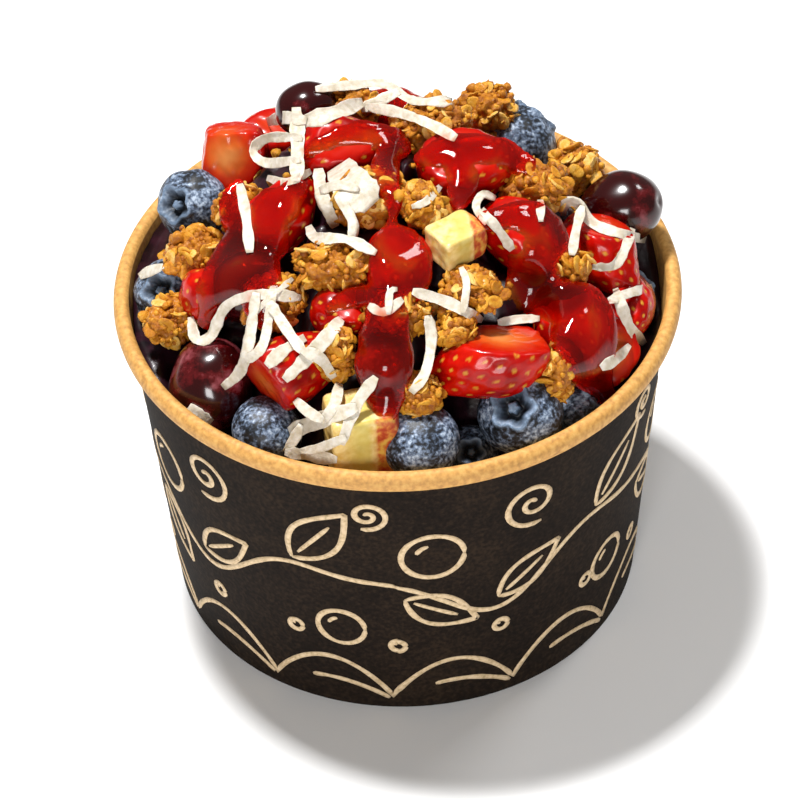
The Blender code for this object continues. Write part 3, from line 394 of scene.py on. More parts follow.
# %% What the finishes are put together from
def noise(tree, place, size, detail, roughness=0.5):
    """Noise whose features are about this many millimetres across."""
    settings = {"Scale": 1000.0 / size, "Detail": detail, "Roughness": roughness}
    return add_node(tree, "ShaderNodeTexNoise", settings, {"Vector": place}).outputs["Fac"]


def ramp(tree, factor, *stops):
    """A ramp whose stops are a position with a hex colour or a grey. The first two are its ends."""
    return add_node(tree, "ShaderNodeValToRGB", links={"Fac": factor}, stops=stops).outputs["Color"]


def mask(tree, name):
    """What the points of a piece hold under this name."""
    return add_node(tree, "ShaderNodeAttribute", {"attribute_name": name}).outputs["Fac"]


def maths(tree, operation, *values):
    """One step of arithmetic on numbers and sockets."""
    numbers = {k: value for k, value in enumerate(values) if isinstance(value, float)}
    sockets = {k: value for k, value in enumerate(values) if k not in numbers}
    return add_node(tree, "ShaderNodeMath", {"operation": operation, **numbers}, sockets).outputs[0]


def blend(tree, share, first, second):
    """Two values mixed, with this share of the second."""
    settings = {"data_type": "FLOAT", 0: share}
    return add_node(tree, "ShaderNodeMix", settings, {2: first, 3: second}).outputs[0]


def mixed(tree, factor, first, second):
    """The first colour where the factor is 0 and the second, a socket or a hex colour, where it is 1."""
    settings, links = {"data_type": "RGBA"}, {0: factor, 6: first}
    if isinstance(second, str):
        settings[7] = srgb(second)
    else:
        links[7] = second
    return add_node(tree, "ShaderNodeMix", settings, links).outputs[2]


def dress(tree, shader, colour, height=None, strength=0.0, relief=0.0):
    """Gives the shader its colour, and a bump from the height with a relief in millimetres."""
    tree.links.new(colour, shader.inputs["Base Color"])
    if height is not None:
        settings = {"Strength": strength, "Distance": relief * MM}
        bump = add_node(tree, "ShaderNodeBump", settings, {"Height": height})
        tree.links.new(bump.outputs["Normal"], shader.inputs["Normal"])


# %% [markdown]
# ## Kraft paper
# The cup is rolled from unbleached kraft board. Long brown fibres show as fine streaks and specks. Its
# outside is flooded with a matt black ink that leaves the line drawing bare.

# %% Kraft paper, and the same paper printed black
# Rough fibres scatter the light, so the board looks dry and warm, with dark specks up close.
kraft, tree, shader, place = new_material("unbleached_kraft_board", Roughness=0.62)
fibres = noise(tree, place, 1.1, 6.0)
tone = ramp(tree, fibres, (0.3, "#B28040"), (0.7, "#DCAC60"), (0.5, "#CE984E"))
specks = ramp(tree, noise(tree, place, 0.7, 3.0), (0.68, 0.0), (0.8, 0.4))
dress(tree, shader, mixed(tree, specks, tone, "#8A5F30"), fibres, 0.15, 0.1)

# Thin ink sinks into the board, so the black is warm and mottled and has no shine.
black, tree, shader, place = new_material(
    "matt_black_print_on_kraft", Roughness=0.8, Specular_IOR_Level=0.12,
)
grain = noise(tree, place, 0.9, 5.0)
mottled = blend(tree, 0.3, grain, noise(tree, place, 14, 2.0))
ink = ramp(tree, mottled, (0.36, "#120B06"), (0.66, "#2E2217"), (0.5, "#1D140D"))
dress(tree, shader, ink, grain, 0.3, 0.2)

# Bare board between inked fields reads paler than the board of the rim.
line_paper, tree, shader, place = new_material("bare_kraft_in_the_print", Roughness=0.65)
grain = noise(tree, place, 0.9, 4.0)
dress(tree, shader, ramp(tree, grain, (0.3, "#B2976F"), (0.65, "#E2C8A2"), (0.45, "#D3B78E")))
print("paper finishes:", kraft.name, black.name, line_paper.name)

# %% [markdown]
# ## The cup
# The wall is a shallow cone with a rolled lip, turned as one profile. The overlap of the sheet shows
# as a low step that fades over a few centimetres.

# %% The wall's cone
SEAM_TURN = math.radians(-93)
SEAM_STEP = 0.3
SEAM_FADE = math.radians(16)


def wall_radius(height):
    """Outer radius of the wall in millimetres at a height above the table: a straight taper."""
    return FOOT_RADIUS + (WALL_TOP_RADIUS - FOOT_RADIUS) * height / WALL_TOP


def seam_lift(turn):
    """How far the overlap lifts the wall: half a step up at the seam, and exp(-turn / fade) from there."""
    return SEAM_STEP * np.exp(-((turn - SEAM_TURN) % (2 * np.pi)) / SEAM_FADE) - SEAM_STEP / 2


def revolve(profile, steps):
    """A profile of (radius, height) rows carried round the upright axis: (r cos a, r sin a, h)."""
    turn = np.arange(steps) * 2 * np.pi / steps
    r, h = np.asarray(profile, float).T
    rings = [r[:, None] * np.cos(turn), r[:, None] * np.sin(turn), h[:, None] - CUP_HEIGHT + 0 * turn]
    return np.stack(rings, -1).reshape(-1, 3), ring_quads(len(r), steps)


# %% The wall and the bottom
STEPS_ROUND = 360
HEM_GAP = 0.4

roll = [
    (RIM_RADIUS - ROLL_WIDTH / 2 + ROLL_WIDTH / 2 * math.cos(turn),
     CUP_HEIGHT - ROLL_HEIGHT / 2 + ROLL_HEIGHT / 2 * math.sin(turn))
    for turn in np.radians(np.arange(150, -100, -10))
]
outside = [(float(wall_radius(h)), h) for h in np.linspace(WALL_TOP - HEM_GAP, HEM_GAP, 40)]
foot = [
    (FOOT_RADIUS - 0.2, 0.0), (FOOT_RADIUS - FOOT_HEM + 0.2, 0.0), (FOOT_RADIUS - FOOT_HEM, 0.3),
    (wall_radius(BOTTOM_RECESS) - FOOT_HEM, BOTTOM_RECESS - HEM_GAP),
    (wall_radius(BOTTOM_RECESS) - PAPER, BOTTOM_RECESS - 0.3),
]
inside = [(wall_radius(h) - PAPER, h) for h in np.linspace(BOTTOM_RECESS, WALL_TOP - 0.5, 12)]
points, quads = revolve(roll + outside + foot + inside + roll[:1], STEPS_ROUND)
row = np.arange(len(points)) // STEPS_ROUND
on_wall = (row >= len(roll)) & (row < len(roll) + len(outside))
lift = seam_lift(np.arctan2(points[:, 1], points[:, 0]))
reach = np.linalg.norm(points[:, :2], axis=1)
points[on_wall, :2] *= (1 + lift / reach)[on_wall, None]
cup = add_piece("paper_wall", points, [quads], kraft, ["cup_wall"], "kraft_paper", in_heap=False)
cup.data.materials.append(black)
cup.data.polygons.foreach_set("material_index", on_wall[quads[:, 0]].astype(np.int32))

edge = wall_radius(BOTTOM_RECESS) - PAPER - 0.3
disc = [
    (0.01, BOTTOM_RECESS + PAPER), (edge, BOTTOM_RECESS + PAPER), (edge, BOTTOM_RECESS),
    (0.01, BOTTOM_RECESS), (0.01, BOTTOM_RECESS + PAPER),
]
points, quads = revolve(disc, STEPS_ROUND // 3)
add_piece("paper_bottom", points, [quads[:, ::-1]], kraft, ["cup_base"], "kraft_paper", in_heap=False)
print("cup faces:", len(cup.data.polygons))

# %% [markdown]
# ## The print
# Bare kraft lines on the black: a vine with leaves and round fruit winds round the cup over a row of
# hills, with curls above. A line is a ribbon on the cone. A point of the drawing has s along the
# wall and h above the table, and lies at the turn s / 51 mm on the wall's radius there.

# %% Ribbons on the wall
DRAWING_RADIUS = 51.0
LINE_WIDTH = 1.15
THIN_LINE = 0.8 * LINE_WIDTH
LINE_RAISE = 0.12
LINE_DEPTH = 0.2
PANELS = 5
HILLS_PER_PANEL = 2.4
PANEL = 2 * math.pi * DRAWING_RADIUS / PANELS
drawing = []


def draw_line(s, h, seed, width=LINE_WIDTH):
    """Adds a ribbon through the points, its width uneven by a tenth as a brush leaves it."""
    path = np.stack([s, h], -1)
    half = width / 2 * (1 + 0.12 * ripple(path, 5, seed))
    half[[0, -1]] *= 0.5
    away = left_of(path) * half[:, None]
    rings = []
    for hand, raised in ((1, LINE_RAISE), (1, -LINE_DEPTH), (-1, -LINE_DEPTH), (-1, LINE_RAISE)):
        side = path + hand * away
        turn = side[:, 0] / DRAWING_RADIUS + np.pi / 2
        radius = wall_radius(side[:, 1]) + raised + seam_lift(turn)
        rings.append(np.stack([radius * np.cos(turn), radius * np.sin(turn), side[:, 1] - CUP_HEIGHT], -1))
    drawing.append(np.stack(rings, 1))


# %% Leaves, fruit and curls
def draw_leaf(s, h, angle, length, width, seed):
    """A leaf: x runs 0 to the length and y is the width times sin(pi x / length), with its middle vein."""
    x = np.linspace(0, 1, 22)
    edge = width / 2 * np.sin(np.pi * x ** 0.85)
    outline_x = np.concatenate([x, x[::-1]]) * length
    outline_y = np.concatenate([edge, -edge[::-1]])
    c, n = math.cos(angle), math.sin(angle)
    draw_line(s + c * outline_x - n * outline_y, h + n * outline_x + c * outline_y, seed)
    vein = np.linspace(0.12, 0.72, 8) * length
    draw_line(s + c * vein, h + n * vein, seed + 1, THIN_LINE)


def draw_fruit(s, h, radius, seed):
    """A round fruit, a circle with a short arc of shine."""
    turn = np.linspace(0, 2 * np.pi, 34)
    draw_line(s + radius * np.cos(turn), h + radius * np.sin(turn), seed)
    turn = np.radians(np.linspace(105, 160, 7))
    draw_line(s + 0.55 * radius * np.cos(turn), h + 0.55 * radius * np.sin(turn), seed + 1, THIN_LINE)


def draw_curl(s, h, size, hand, seed):
    """A curl: its radius grows evenly with its turn."""
    turn = np.linspace(0.6, 3.6 * np.pi, 46)
    radius = size * turn / turn[-1]
    draw_line(s + hand * radius * np.cos(turn), h + radius * np.sin(turn), seed)


# %% The drawing
draw = np.random.default_rng(3)
along = np.linspace(0, 2 * np.pi * DRAWING_RADIUS, 420)
wave = 2 * np.pi * along / PANEL
hills = 3.5 + 11 * np.abs(np.sin(wave / 2 * HILLS_PER_PANEL + 0.5)) ** 0.8
draw_line(along, 36 + 6.5 * np.sin(wave) + 2.0 * np.sin(wave * 2 + 1), 1)
draw_line(along, hills, 2)
for start in range(0, 400, 35):
    part = slice(start + 6, start + 29)
    draw_line(along[part], 0.5 * hills[part] + 0.6, 500 + start)
for panel in range(PANELS):
    left, seed, hand = panel * PANEL, 10 * panel, 1 - 2 * (panel % 2)
    jitter = draw.uniform(-2.5, 2.5, 6)
    draw_leaf(left + 9 + jitter[0], 43.5, 0.9 + 0.1 * jitter[1], 20, 9.5, seed + 3)
    draw_leaf(left + 30 + jitter[2], 34.5, -0.75 + 0.1 * jitter[3], 17, 8.5, seed + 4)
    draw_leaf(left + 50 + jitter[1], 31, 0.65, 17, 8, seed + 5)
    draw_fruit(left + 38 + jitter[4], 47 + 0.5 * jitter[5], 6.2, seed + 6)
    draw_fruit(left + 17 + jitter[5], 24 + 0.4 * jitter[2], 5.0, seed + 7)
    draw_curl(left + 55 + jitter[3], 56, 6.5, hand, seed + 8)
    draw_curl(left + 25 + jitter[0], 60, 4.2, -hand, seed + 9)
    for spot in range(3):
        dot = left + 8 + 21 * spot + jitter[spot]
        draw_fruit(dot, 21 - 2 * (spot % 2) + 0.4 * jitter[3], 1.5, 300 + seed + spot)

faces, count = [], 0
for ribbon in drawing:
    faces.append(ring_quads(len(ribbon), 4, count)[:, ::-1])
    end = 4 * len(ribbon)
    faces.append(count + np.array([[3, 2, 1, 0], [end - 4, end - 3, end - 2, end - 1]]))
    count += end
points = np.vstack([ribbon.reshape(-1, 3) for ribbon in drawing])
add_piece("print_lines", points, faces, line_paper, [], "kraft_paper", in_heap=False)
print("lines drawn:", len(drawing))

# %% [markdown]
# ## Acai
# The puree shows only in the gaps, nearly black and wet. Every topping has pressed a hollow in it.
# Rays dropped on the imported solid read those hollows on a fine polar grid, a little smoothing rounds
# them, and a small relief gives the grain of a thick frozen puree.

# %% Acai finish
# A moist skin over a nearly black purple: dark gaps with a few soft glints.
acai, tree, shader, place = new_material(
    "frozen_acai_puree", Roughness=0.36, Specular_IOR_Level=0.4, Coat_Weight=0.15,
)
lumps = noise(tree, place, 3.5, 5.0)
dress(tree, shader, ramp(tree, lumps, (0.35, "#12060B"), (0.7, "#341420")), lumps, 0.5, 0.6)

# %% The hollows under the toppings
TOP_RINGS = 84
TURNS = 200
SIDE_RINGS = 6
ACAI_SMOOTHING = 5
ACAI_RISE = 0.4
WALL_GAP = PAPER + 0.3

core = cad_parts["acai_base"]
corners = [core.matrix_world @ v.co for v in core.data.vertices]
core_surface = BVHTree.FromPolygons(corners, [tuple(p.vertices) for p in core.data.polygons])
edge = max(math.hypot(*corner.xy) for corner in corners) / MM
lowest = min(corner.z for corner in corners) / MM
turn = np.arange(TURNS) * 2 * np.pi / TURNS
reach = edge * 0.975 * np.arange(1, TOP_RINGS + 1) / TOP_RINGS
x, y = reach[:, None] * np.cos(turn), reach[:, None] * np.sin(turn)
down = Vector((0, 0, -1))
drops = [core_surface.ray_cast(Vector((a * MM, b * MM, 0.2)), down)[0] for a, b in zip(x.flat, y.flat)]
pressed = np.array([hit.z / MM if hit else np.nan for hit in drops]).reshape(x.shape)
pressed = np.where(np.isnan(pressed), np.nanmin(pressed), pressed)
level = pressed.copy()
for _ in range(ACAI_SMOOTHING):
    beside = np.roll(level, 1, 1) + np.roll(level, -1, 1)
    along = np.vstack([level[:1], level[:-1]]) + np.vstack([level[1:], level[-1:]])
    level = np.minimum((level + beside + along) / 5, pressed + ACAI_RISE)
level += 0.25 * ripple(np.stack([x, y, level], -1), 4, 21)
level += 0.10 * ripple(np.stack([x, y, level], -1), 1.4, 22)

# %% Acai
room = wall_radius(level[-1]) - WALL_GAP
x[-1], y[-1] = room * np.cos(turn), room * np.sin(turn)
share = np.arange(1, SIDE_RINGS + 1)[:, None] / SIDE_RINGS
side_level = level[-1] * (1 - share) + lowest * share
side_reach = wall_radius(side_level) - WALL_GAP
sides = [side_reach * np.cos(turn), side_reach * np.sin(turn), side_level - CUP_HEIGHT]
points = np.vstack([
    [(0, 0, level[0].mean() - CUP_HEIGHT)], np.stack([x, y, level - CUP_HEIGHT], -1).reshape(-1, 3),
    np.stack(sides, -1).reshape(-1, 3), [(0, 0, lowest - CUP_HEIGHT)],
])
add_piece("acai_puree", points, ball(TOP_RINGS + SIDE_RINGS, TURNS)[1], acai, ["acai_base"], "acai")
print("acai points:", len(points), "edge:", round(edge, 1), "mm")

# %% [markdown]
# ## Blueberries
# A ripe blueberry is a slightly flattened ball with a five-pointed crown round a dent. Its dark skin
# carries a pale wax bloom, which handling rubs off in patches.

# %% Blueberry skin
# The wax scatters light and looks blue-grey, and where it is rubbed off the skin is nearly black.
blue_skin, tree, shader, place = new_material(
    "blueberry_skin_with_bloom", Roughness=0.48, Specular_IOR_Level=0.45,
)
dust = noise(tree, place, 0.8, 3.0)
both = blend(tree, 0.45, noise(tree, place, 5, 6.0, 0.7), dust)
bloom = ramp(tree, both, (0.4, "#0C0D11"), (0.62, "#B6C6D8"), (0.46, "#232933"), (0.53, "#63738B"))
pale = mixed(tree, maths(tree, "MULTIPLY", mask(tree, "crown"), 0.6), bloom, "#8298B2")
# The groove inside the crown is painted nearly black in step with its depth: painted shade.
dress(tree, shader, mixed(tree, mask(tree, "dent"), pale, "#0D0B0E"), dust, 0.25, 0.3)

# %% Blueberry shapes
CROWN_TURN = math.radians(27)
BERRY_HEIGHT = 0.9


def blueberry(name, place, radius, crown, seed):
    """A ball with radius R(t, p) = r (1 + lip - dent): t is the angle from the crown's middle.

    The lip is a bell in t round the crown's edge, raised into five points by cos(5 p). The dent fills
    the inside of it. The height is squeezed to nine tenths.
    """
    way, faces = ball(56, 70)
    t = np.arccos(np.clip(way[:, 2], -1, 1))
    p = np.arctan2(way[:, 1], way[:, 0])
    star = 0.5 + 0.5 * np.cos(5 * p + seed + 0.4 * np.sin(p))
    edge = CROWN_TURN * (0.85 + 0.25 * star)
    lip = (0.06 + 0.08 * star) * np.exp(-((t - edge) / 0.10) ** 2)
    in_crown = smooth_step(0.98, 0.72, t / edge)
    groove = 0.26 * in_crown * smooth_step(0.25, 0.55, t / edge)
    uneven = 0.02 * ripple(way * 10, 9, seed)
    size = radius * (1 + lip - groove - 0.12 * in_crown + uneven)
    points = way * size[:, None] * (1, 1, BERRY_HEIGHT)
    # The dent mask is the groove's depth, used for the painted shade in it.
    add_piece(
        "ripe_" + name, turned(points, crown) + place, faces, blue_skin, [name], "blueberry",
        {"dent": np.clip(groove / 0.2, 0, 0.95), "crown": smooth_step(1.25, 1.0, t / edge)},
    )


for number, row in enumerate(BLUEBERRIES):
    blueberry(*row, number)
print("blueberries:", len(BLUEBERRIES))

# %% [markdown]
# ## Grapes
# Dark red table grapes: long balls with a smooth, tight skin, a dull pink bloom and a small scar.
# Syrup has washed the bloom off some of them.

# %% Grape skin
# Tight, wet skin gives sharp glints, and the bloom dulls them in pinkish patches.
WASH_SHARE = 0.16
WASHED = {
    "grape_left": 0.35, "grape_right": 0.9, "grape_under_syrup": 0.8, "grape_front": 0.5,
    "grape_top_left": 0.9,
}
grape_skin, tree, shader, place = new_material("dark_red_grape_skin", Coat_Weight=0.25, Coat_Roughness=0.15)
left_on = maths(tree, "MULTIPLY_ADD", mask(tree, "washed"), -WASH_SHARE, noise(tree, place, 7, 5.0, 0.65))
tone = ramp(tree, left_on, (0.38, "#2C0304"), (0.66, "#B4747C"), (0.48, "#560C10"), (0.57, "#84383F"))
dress(tree, shader, tone)
tree.links.new(ramp(tree, left_on, (0.42, 0.16), (0.62, 0.55)), shader.inputs["Roughness"])


# %% Grape shapes
def grape(name, place, radius, length, axis, seed):
    """An ellipsoid, uneven by 2 percent, with a scar pressed into its end."""
    way, faces = ball(40, 52)
    points = way * (radius, radius, length / 2) * (1 + 0.02 * ripple(way * 8, 8, seed))[:, None]
    points[:, 2] -= 0.6 * np.exp(-((1 - way[:, 2]) / 0.012))
    add_piece(
        "ripe_" + name, turned(points, axis) + place, faces, grape_skin, [name], "grape",
        {"washed": np.full(len(points), WASHED[name])},
    )


for number, row in enumerate(GRAPES):
    grape(*row, 30 + number)
print("grapes:", len(GRAPES))

# %% [markdown]
# ## Strawberries
# Each is a berry that tapers to its tip, cut by a knife. A cut face is where a ray from the middle
# meets the knife's plane before the skin. The skin dips round each seed. The flesh goes from red
# under the skin to peach and nearly white inside.

# %% Strawberry finish
# Wet skin glints round each seed, and light sinks a little into the flesh, so the cuts look juicy.
strawberry_flesh, tree, shader, place = new_material(
    "strawberry_skin_and_flesh", Roughness=0.26, Specular_IOR_Level=0.2, Coat_Weight=0.2,
    Coat_Roughness=0.08, Subsurface_Weight=0.08, Subsurface_Radius=(0.004, 0.0012, 0.0008),
)
blotches = noise(tree, place, 6, 4.0)
skin = ramp(tree, blotches, (0.35, "#8A0401"), (0.7, "#D01A04"), (0.52, "#B40802"))
veins = maths(tree, "MULTIPLY_ADD", blotches, 0.16, -0.08)
flesh = ramp(
    tree, maths(tree, "ADD", mask(tree, "depth"), veins),
    (0.0, "#AE0802"), (0.7, "#D88E4C"), (0.14, "#BA1804"), (0.32, "#C4340C"), (0.5, "#CE6024"),
)
cut_or_skin = mixed(tree, mask(tree, "cut"), skin, flesh)
dress(tree, shader, mixed(tree, mask(tree, "seed"), cut_or_skin, "#C98A2C"))

# %% The knife and the seeds
SEED_SPACING = 3.5
SEED_LENGTH = 0.7
SEED_SQUASH = 0.6
CUT_SHARPNESS = 22
CUT_ROUGHNESS = 0.14


def knife_cut(points, cuts):
    """Draws points in to the knife's planes: P / (1 + sum (P.n / d) ** k) ** (1 / k).

    Returns the new points, how much of each is cut face and how deep in the fruit it lies.
    """
    total = np.zeros(len(points))
    for facing, distance in cuts:
        normal = np.array(facing) / np.linalg.norm(facing)
        total += np.clip(points @ normal / distance, 0, None) ** CUT_SHARPNESS
    share = (1 + total) ** (-1 / CUT_SHARPNESS)
    return points * share[:, None], smooth_step(0.35, 0.65, total / (1 + total)), 1 - share


def spread_seeds(length, width):
    """Seeds spaced evenly over a unit ball: heights in equal steps, each a golden turn on."""
    count = int(np.pi * length * width / SEED_SPACING ** 2)
    k = np.arange(count) + 0.5
    z = 1 - 2 * k / count
    p = k * np.pi * (3 - np.sqrt(5))
    level = np.sqrt(1 - z ** 2)
    return np.stack([level * np.cos(p), level * np.sin(p), z], -1)


# %% Strawberry shapes
def tapered(way, length, width):
    """Directions stretched to a berry: x and y by w / 2 (1 - 0.45 a ** 1.5), a from 0 at the stalk to 1."""
    taper = width / 2 * (1 - 0.45 * ((way[:, 2:] + 1) / 2) ** 1.5)
    return way * np.hstack([taper, taper, np.full((len(way), 1), length / 2)])


def strawberry(name, place, length, width, tip, cuts, seed):
    """A tapering berry with a dip round each seed, a little uneven, and cut by the knife."""
    way, faces = ball(84, 110)
    points = tapered(way, length, width)
    gap = points[:, None] - tapered(spread_seeds(length, width), length, width)[None]
    gap[..., 2] *= SEED_SQUASH
    near = np.linalg.norm(gap, axis=2).min(1)
    dip = 0.36 * np.exp(-(near / 0.8) ** 2) - 0.24 * np.exp(-(near / 0.34) ** 2)
    seed_here = smooth_step(SEED_LENGTH * 0.62, SEED_LENGTH * 0.38, near)
    uneven = 0.035 * ripple(way * 9, 9, seed)
    skin_points = points * (1 + uneven)[:, None] - way * dip[:, None]
    flat, cut_here, inside = knife_cut(turned(skin_points, tip), cuts)
    flat += CUT_ROUGHNESS * (ripple(flat, 2.6, seed + 1) * cut_here)[:, None] * way
    add_piece(
        "diced_" + name, flat + place, faces, strawberry_flesh, [name], "strawberry",
        {"cut": cut_here, "depth": inside, "seed": seed_here * (1 - cut_here)},
    )


for number, row in enumerate(STRAWBERRIES):
    strawberry(*row, 60 + number)
print("strawberry pieces:", len(STRAWBERRIES))

# %% [markdown]
# ## Apple
# A diced apple keeps a strip of skin on one side. The flesh is cream and turns green near the skin,
# and the skin is yellow flushed with red specks.

# %% Apple finish
# Damp, fine-grained flesh lets a little light in, which softens the edges of the dice.
apple_flesh, tree, shader, place = new_material(
    "apple_flesh_and_skin", Roughness=0.38, Subsurface_Weight=0.1, Subsurface_Radius=(0.003, 0.002, 0.001),
)
grain = noise(tree, place, 1.6, 4.0)
flesh = ramp(tree, grain, (0.35, "#DEB85E"), (0.65, "#F5DB98"))
greenish = mixed(tree, mask(tree, "near_skin"), flesh, "#D0C05E")
skin = ramp(tree, grain, (0.38, "#B23A1C"), (0.66, "#E0B04C"), (0.5, "#CC6A30"))
dress(tree, shader, mixed(tree, mask(tree, "skin"), greenish, skin), grain, 0.3, 0.3)

# %% Apple chunks
DICE_SHARPNESS = 14
BULGE = 0.22


def apple(name, place, width, depth, height, turn, seed):
    """A dice with soft edges: a ray reaches 1 / (sum |P.n / d| ** k) ** (1 / k), summed over its sides."""
    way, faces = ball(60, 80)
    half = np.array((width, depth, height)) / 2
    reach = (np.abs(way / half) ** DICE_SHARPNESS).sum(1) ** (-1 / DICE_SHARPNESS)
    points = way * reach[:, None]
    toward_edge = ((points[:, 1:] / half[1:]) ** 2).sum(1)
    points[:, 0] += width * BULGE * (1 - toward_edge / 2) * np.clip(points[:, 0] / half[0], 0, 1) ** 3
    toward_skin = 0.75 * points[:, 0] / half[0] - 0.35 * points[:, 1] / half[1]
    skin_here = smooth_step(0.62, 0.7, toward_skin)
    near = smooth_step(-0.3, 0.3, toward_skin) * smooth_step(0.6, 0.45, toward_skin)
    points += 0.12 * (ripple(points, 3, seed) * (1 - skin_here))[:, None] * way
    add_piece(
        "diced_" + name, turned_flat(points, turn) + place, faces, apple_flesh, [name], "apple",
        {"skin": skin_here, "near_skin": near * 0.7},
    )


for number, row in enumerate(APPLES):
    apple(*row, 90 + number)
print("apple chunks:", len(APPLES))

# %% [markdown]
# ## Granola
# Clumps of rolled oats baked with honey. Each has a lumpy core, whole flakes pressed on at all
# angles, and crumbs. A flake is a thin oval, slightly curled, with the crease of the grain.

# %% Granola finish
# Baked honey gives a faint glaze over a rough, dry crumb, pale on the flakes, with painted shade in the
# pits.
toasted_oats, tree, shader, place = new_material(
    "toasted_oats_and_honey", Roughness=0.5, Specular_IOR_Level=0.35, Coat_Weight=0.12, Coat_Roughness=0.2,
)
grain = noise(tree, place, 1.6, 8.0, 0.72)
# The toast varies at random, and the grain that lowers the bump also darkens the colour there: painted
# shade in the pits.
toast_and_pit_shade = maths(tree, "ADD", mask(tree, "tint"), maths(tree, "MULTIPLY_ADD", grain, 1.3, -0.65))
tone = ramp(
    tree, toast_and_pit_shade,
    (0.0, "#4A2004"), (1.0, "#F0C470"), (0.3, "#9C560A"), (0.6, "#CC8414"), (0.82, "#E2A630"),
)
dress(tree, shader, tone, grain, 0.8, 0.6)


# %% Many copies of one small shape
def random_turns(draw, count):
    """Rotation matrices evenly spread over all turns, made from random unit quaternions."""
    q = draw.normal(size=(4, count))
    w, x, y, z = q / np.linalg.norm(q, axis=0)
    return np.stack([
        np.stack([1 - 2 * (y * y + z * z), 2 * (x * y - w * z), 2 * (x * z + w * y)], -1),
        np.stack([2 * (x * y + w * z), 1 - 2 * (x * x + z * z), 2 * (y * z - w * x)], -1),
        np.stack([2 * (x * z - w * y), 2 * (y * z + w * x), 1 - 2 * (x * x + y * y)], -1),
    ], -2)


def lying(facing, any_way):
    """Turns that lay a flat shape with its z along facing."""
    side = unit(np.cross(facing, any_way))
    return np.stack([side, np.cross(facing, side), facing], -1)


def many(shape, faces, turns, sizes, places):
    """Copies of one shape, each scaled, turned and placed: turn (size * point) + place."""
    points = np.einsum("nij,nkj->nki", turns, shape[None] * sizes[:, None, None]) + places[:, None]
    shift = np.arange(len(places)) * len(shape)
    copies = [(group[None] + shift[:, None, None]).reshape(-1, group.shape[1]) for group in faces]
    return points.reshape(-1, 3), copies


def joined(groups):
    """Several (points, faces) as one, with the faces' numbers moved on."""
    points, faces, count = [], [], 0
    for some_points, some_faces in groups:
        points.append(some_points)
        faces += [group + count for group in some_faces]
        count += len(some_points)
    return np.vstack(points), faces


# %% Granola clumps
FLAKES_PER_CLUMP = 30
CRUMBS_PER_CLUMP = 95
CORE_SHARE = 0.84
CRUMB_SHARE = 0.88
CORE_TINT = 0.42

flake_way, flake_faces = ball(5, 12)
flake_shape = flake_way * (1, 0.72, 0.2)
flake_shape[:, 2] += 0.16 * flake_way[:, 0] ** 2 - 0.1 * np.exp(-(flake_way[:, 1] / 0.16) ** 2)
crumb_way, crumb_faces = ball(4, 7)
crumb_shape = crumb_way * (1 + 0.2 * ripple(crumb_way, 1.4, 5))[:, None]


def tints(draw, flakes, palest, crumbs):
    """How pale each point of so many flakes and crumbs is. The flakes are paler."""
    return [
        np.repeat(draw.uniform(0.5, palest, flakes), len(flake_shape)),
        np.repeat(draw.uniform(0.3, 0.75, crumbs), len(crumb_shape)),
    ]


def granola(name, place, width, depth, height, turn, seed):
    """A lumpy ellipsoid with flakes and crumbs on it, each flake lying within 40 degrees of the surface."""
    draw = np.random.default_rng(seed)
    half = np.array((width, depth, height)) / 2
    way, faces = ball(60, 84)
    body = way * half * CORE_SHARE
    body *= (1 + 0.14 * ripple(body, 6.5, seed) + 0.08 * ripple(body, 1.9, seed + 1))[:, None]
    body *= (1 + 0.035 * ripple(body, 0.9, seed + 2))[:, None]
    outward = unit(draw.normal(size=(FLAKES_PER_CLUMP, 3)))
    turns = random_turns(draw, FLAKES_PER_CLUMP)
    facing = unit(outward + 0.55 * draw.normal(size=outward.shape))
    sizes = draw.uniform(1.5, 2.4, FLAKES_PER_CLUMP)
    flakes = many(
        flake_shape, flake_faces, lying(facing, turns[:, 0]), sizes, outward * half * CORE_SHARE,
    )
    out = unit(draw.normal(size=(CRUMBS_PER_CLUMP, 3)))
    sizes = draw.uniform(0.3, 0.9, CRUMBS_PER_CLUMP)
    turns = random_turns(draw, CRUMBS_PER_CLUMP)
    crumbs = many(crumb_shape, crumb_faces, turns, sizes, out * half * CRUMB_SHARE)
    points, faces = joined([(body, faces), flakes, crumbs])
    tint = [np.full(len(body), CORE_TINT), *tints(draw, FLAKES_PER_CLUMP, 0.98, CRUMBS_PER_CLUMP)]
    add_piece(
        "baked_" + name, turned_flat(points, turn) + place, faces, toasted_oats, [name], "granola",
        {"tint": np.concatenate(tint)},
    )


for number, row in enumerate(GRANOLA):
    granola(*row, 200 + number)
print("granola clumps:", len(GRANOLA))

# %% [markdown]
# ## Loose crumbs
# Single oats and crumbs fall from the clumps and lie in the hollows beside them. Each drops straight
# down on the heap near a clump and sinks in by up to half its height. They go with the acai, which
# carries what is loose.

# %% Where crumbs lie
CRUMBS_NEAR_EACH = 7
CRUMBS_ON_BACK = 420
BACK_REACH = 50
STEEPEST = 0.35

draw = np.random.default_rng(11)
spots = []
for name, place, width, depth, height, turn in GRANOLA:
    angle = draw.uniform(0, 2 * np.pi, CRUMBS_NEAR_EACH)
    away = draw.uniform(0.45, 0.85, CRUMBS_NEAR_EACH) * (width + depth) / 2
    spots.append(np.stack([place[0] + away * np.cos(angle), place[1] + away * np.sin(angle)], -1))
angle = draw.uniform(np.radians(-15), np.radians(195), CRUMBS_ON_BACK)
away = np.sqrt(draw.uniform(0.12, 1, CRUMBS_ON_BACK)) * BACK_REACH
back = np.stack([away * np.cos(angle), away * np.sin(angle)], -1)
spots.append(back[ripple(back, 16, 12) > -0.15])

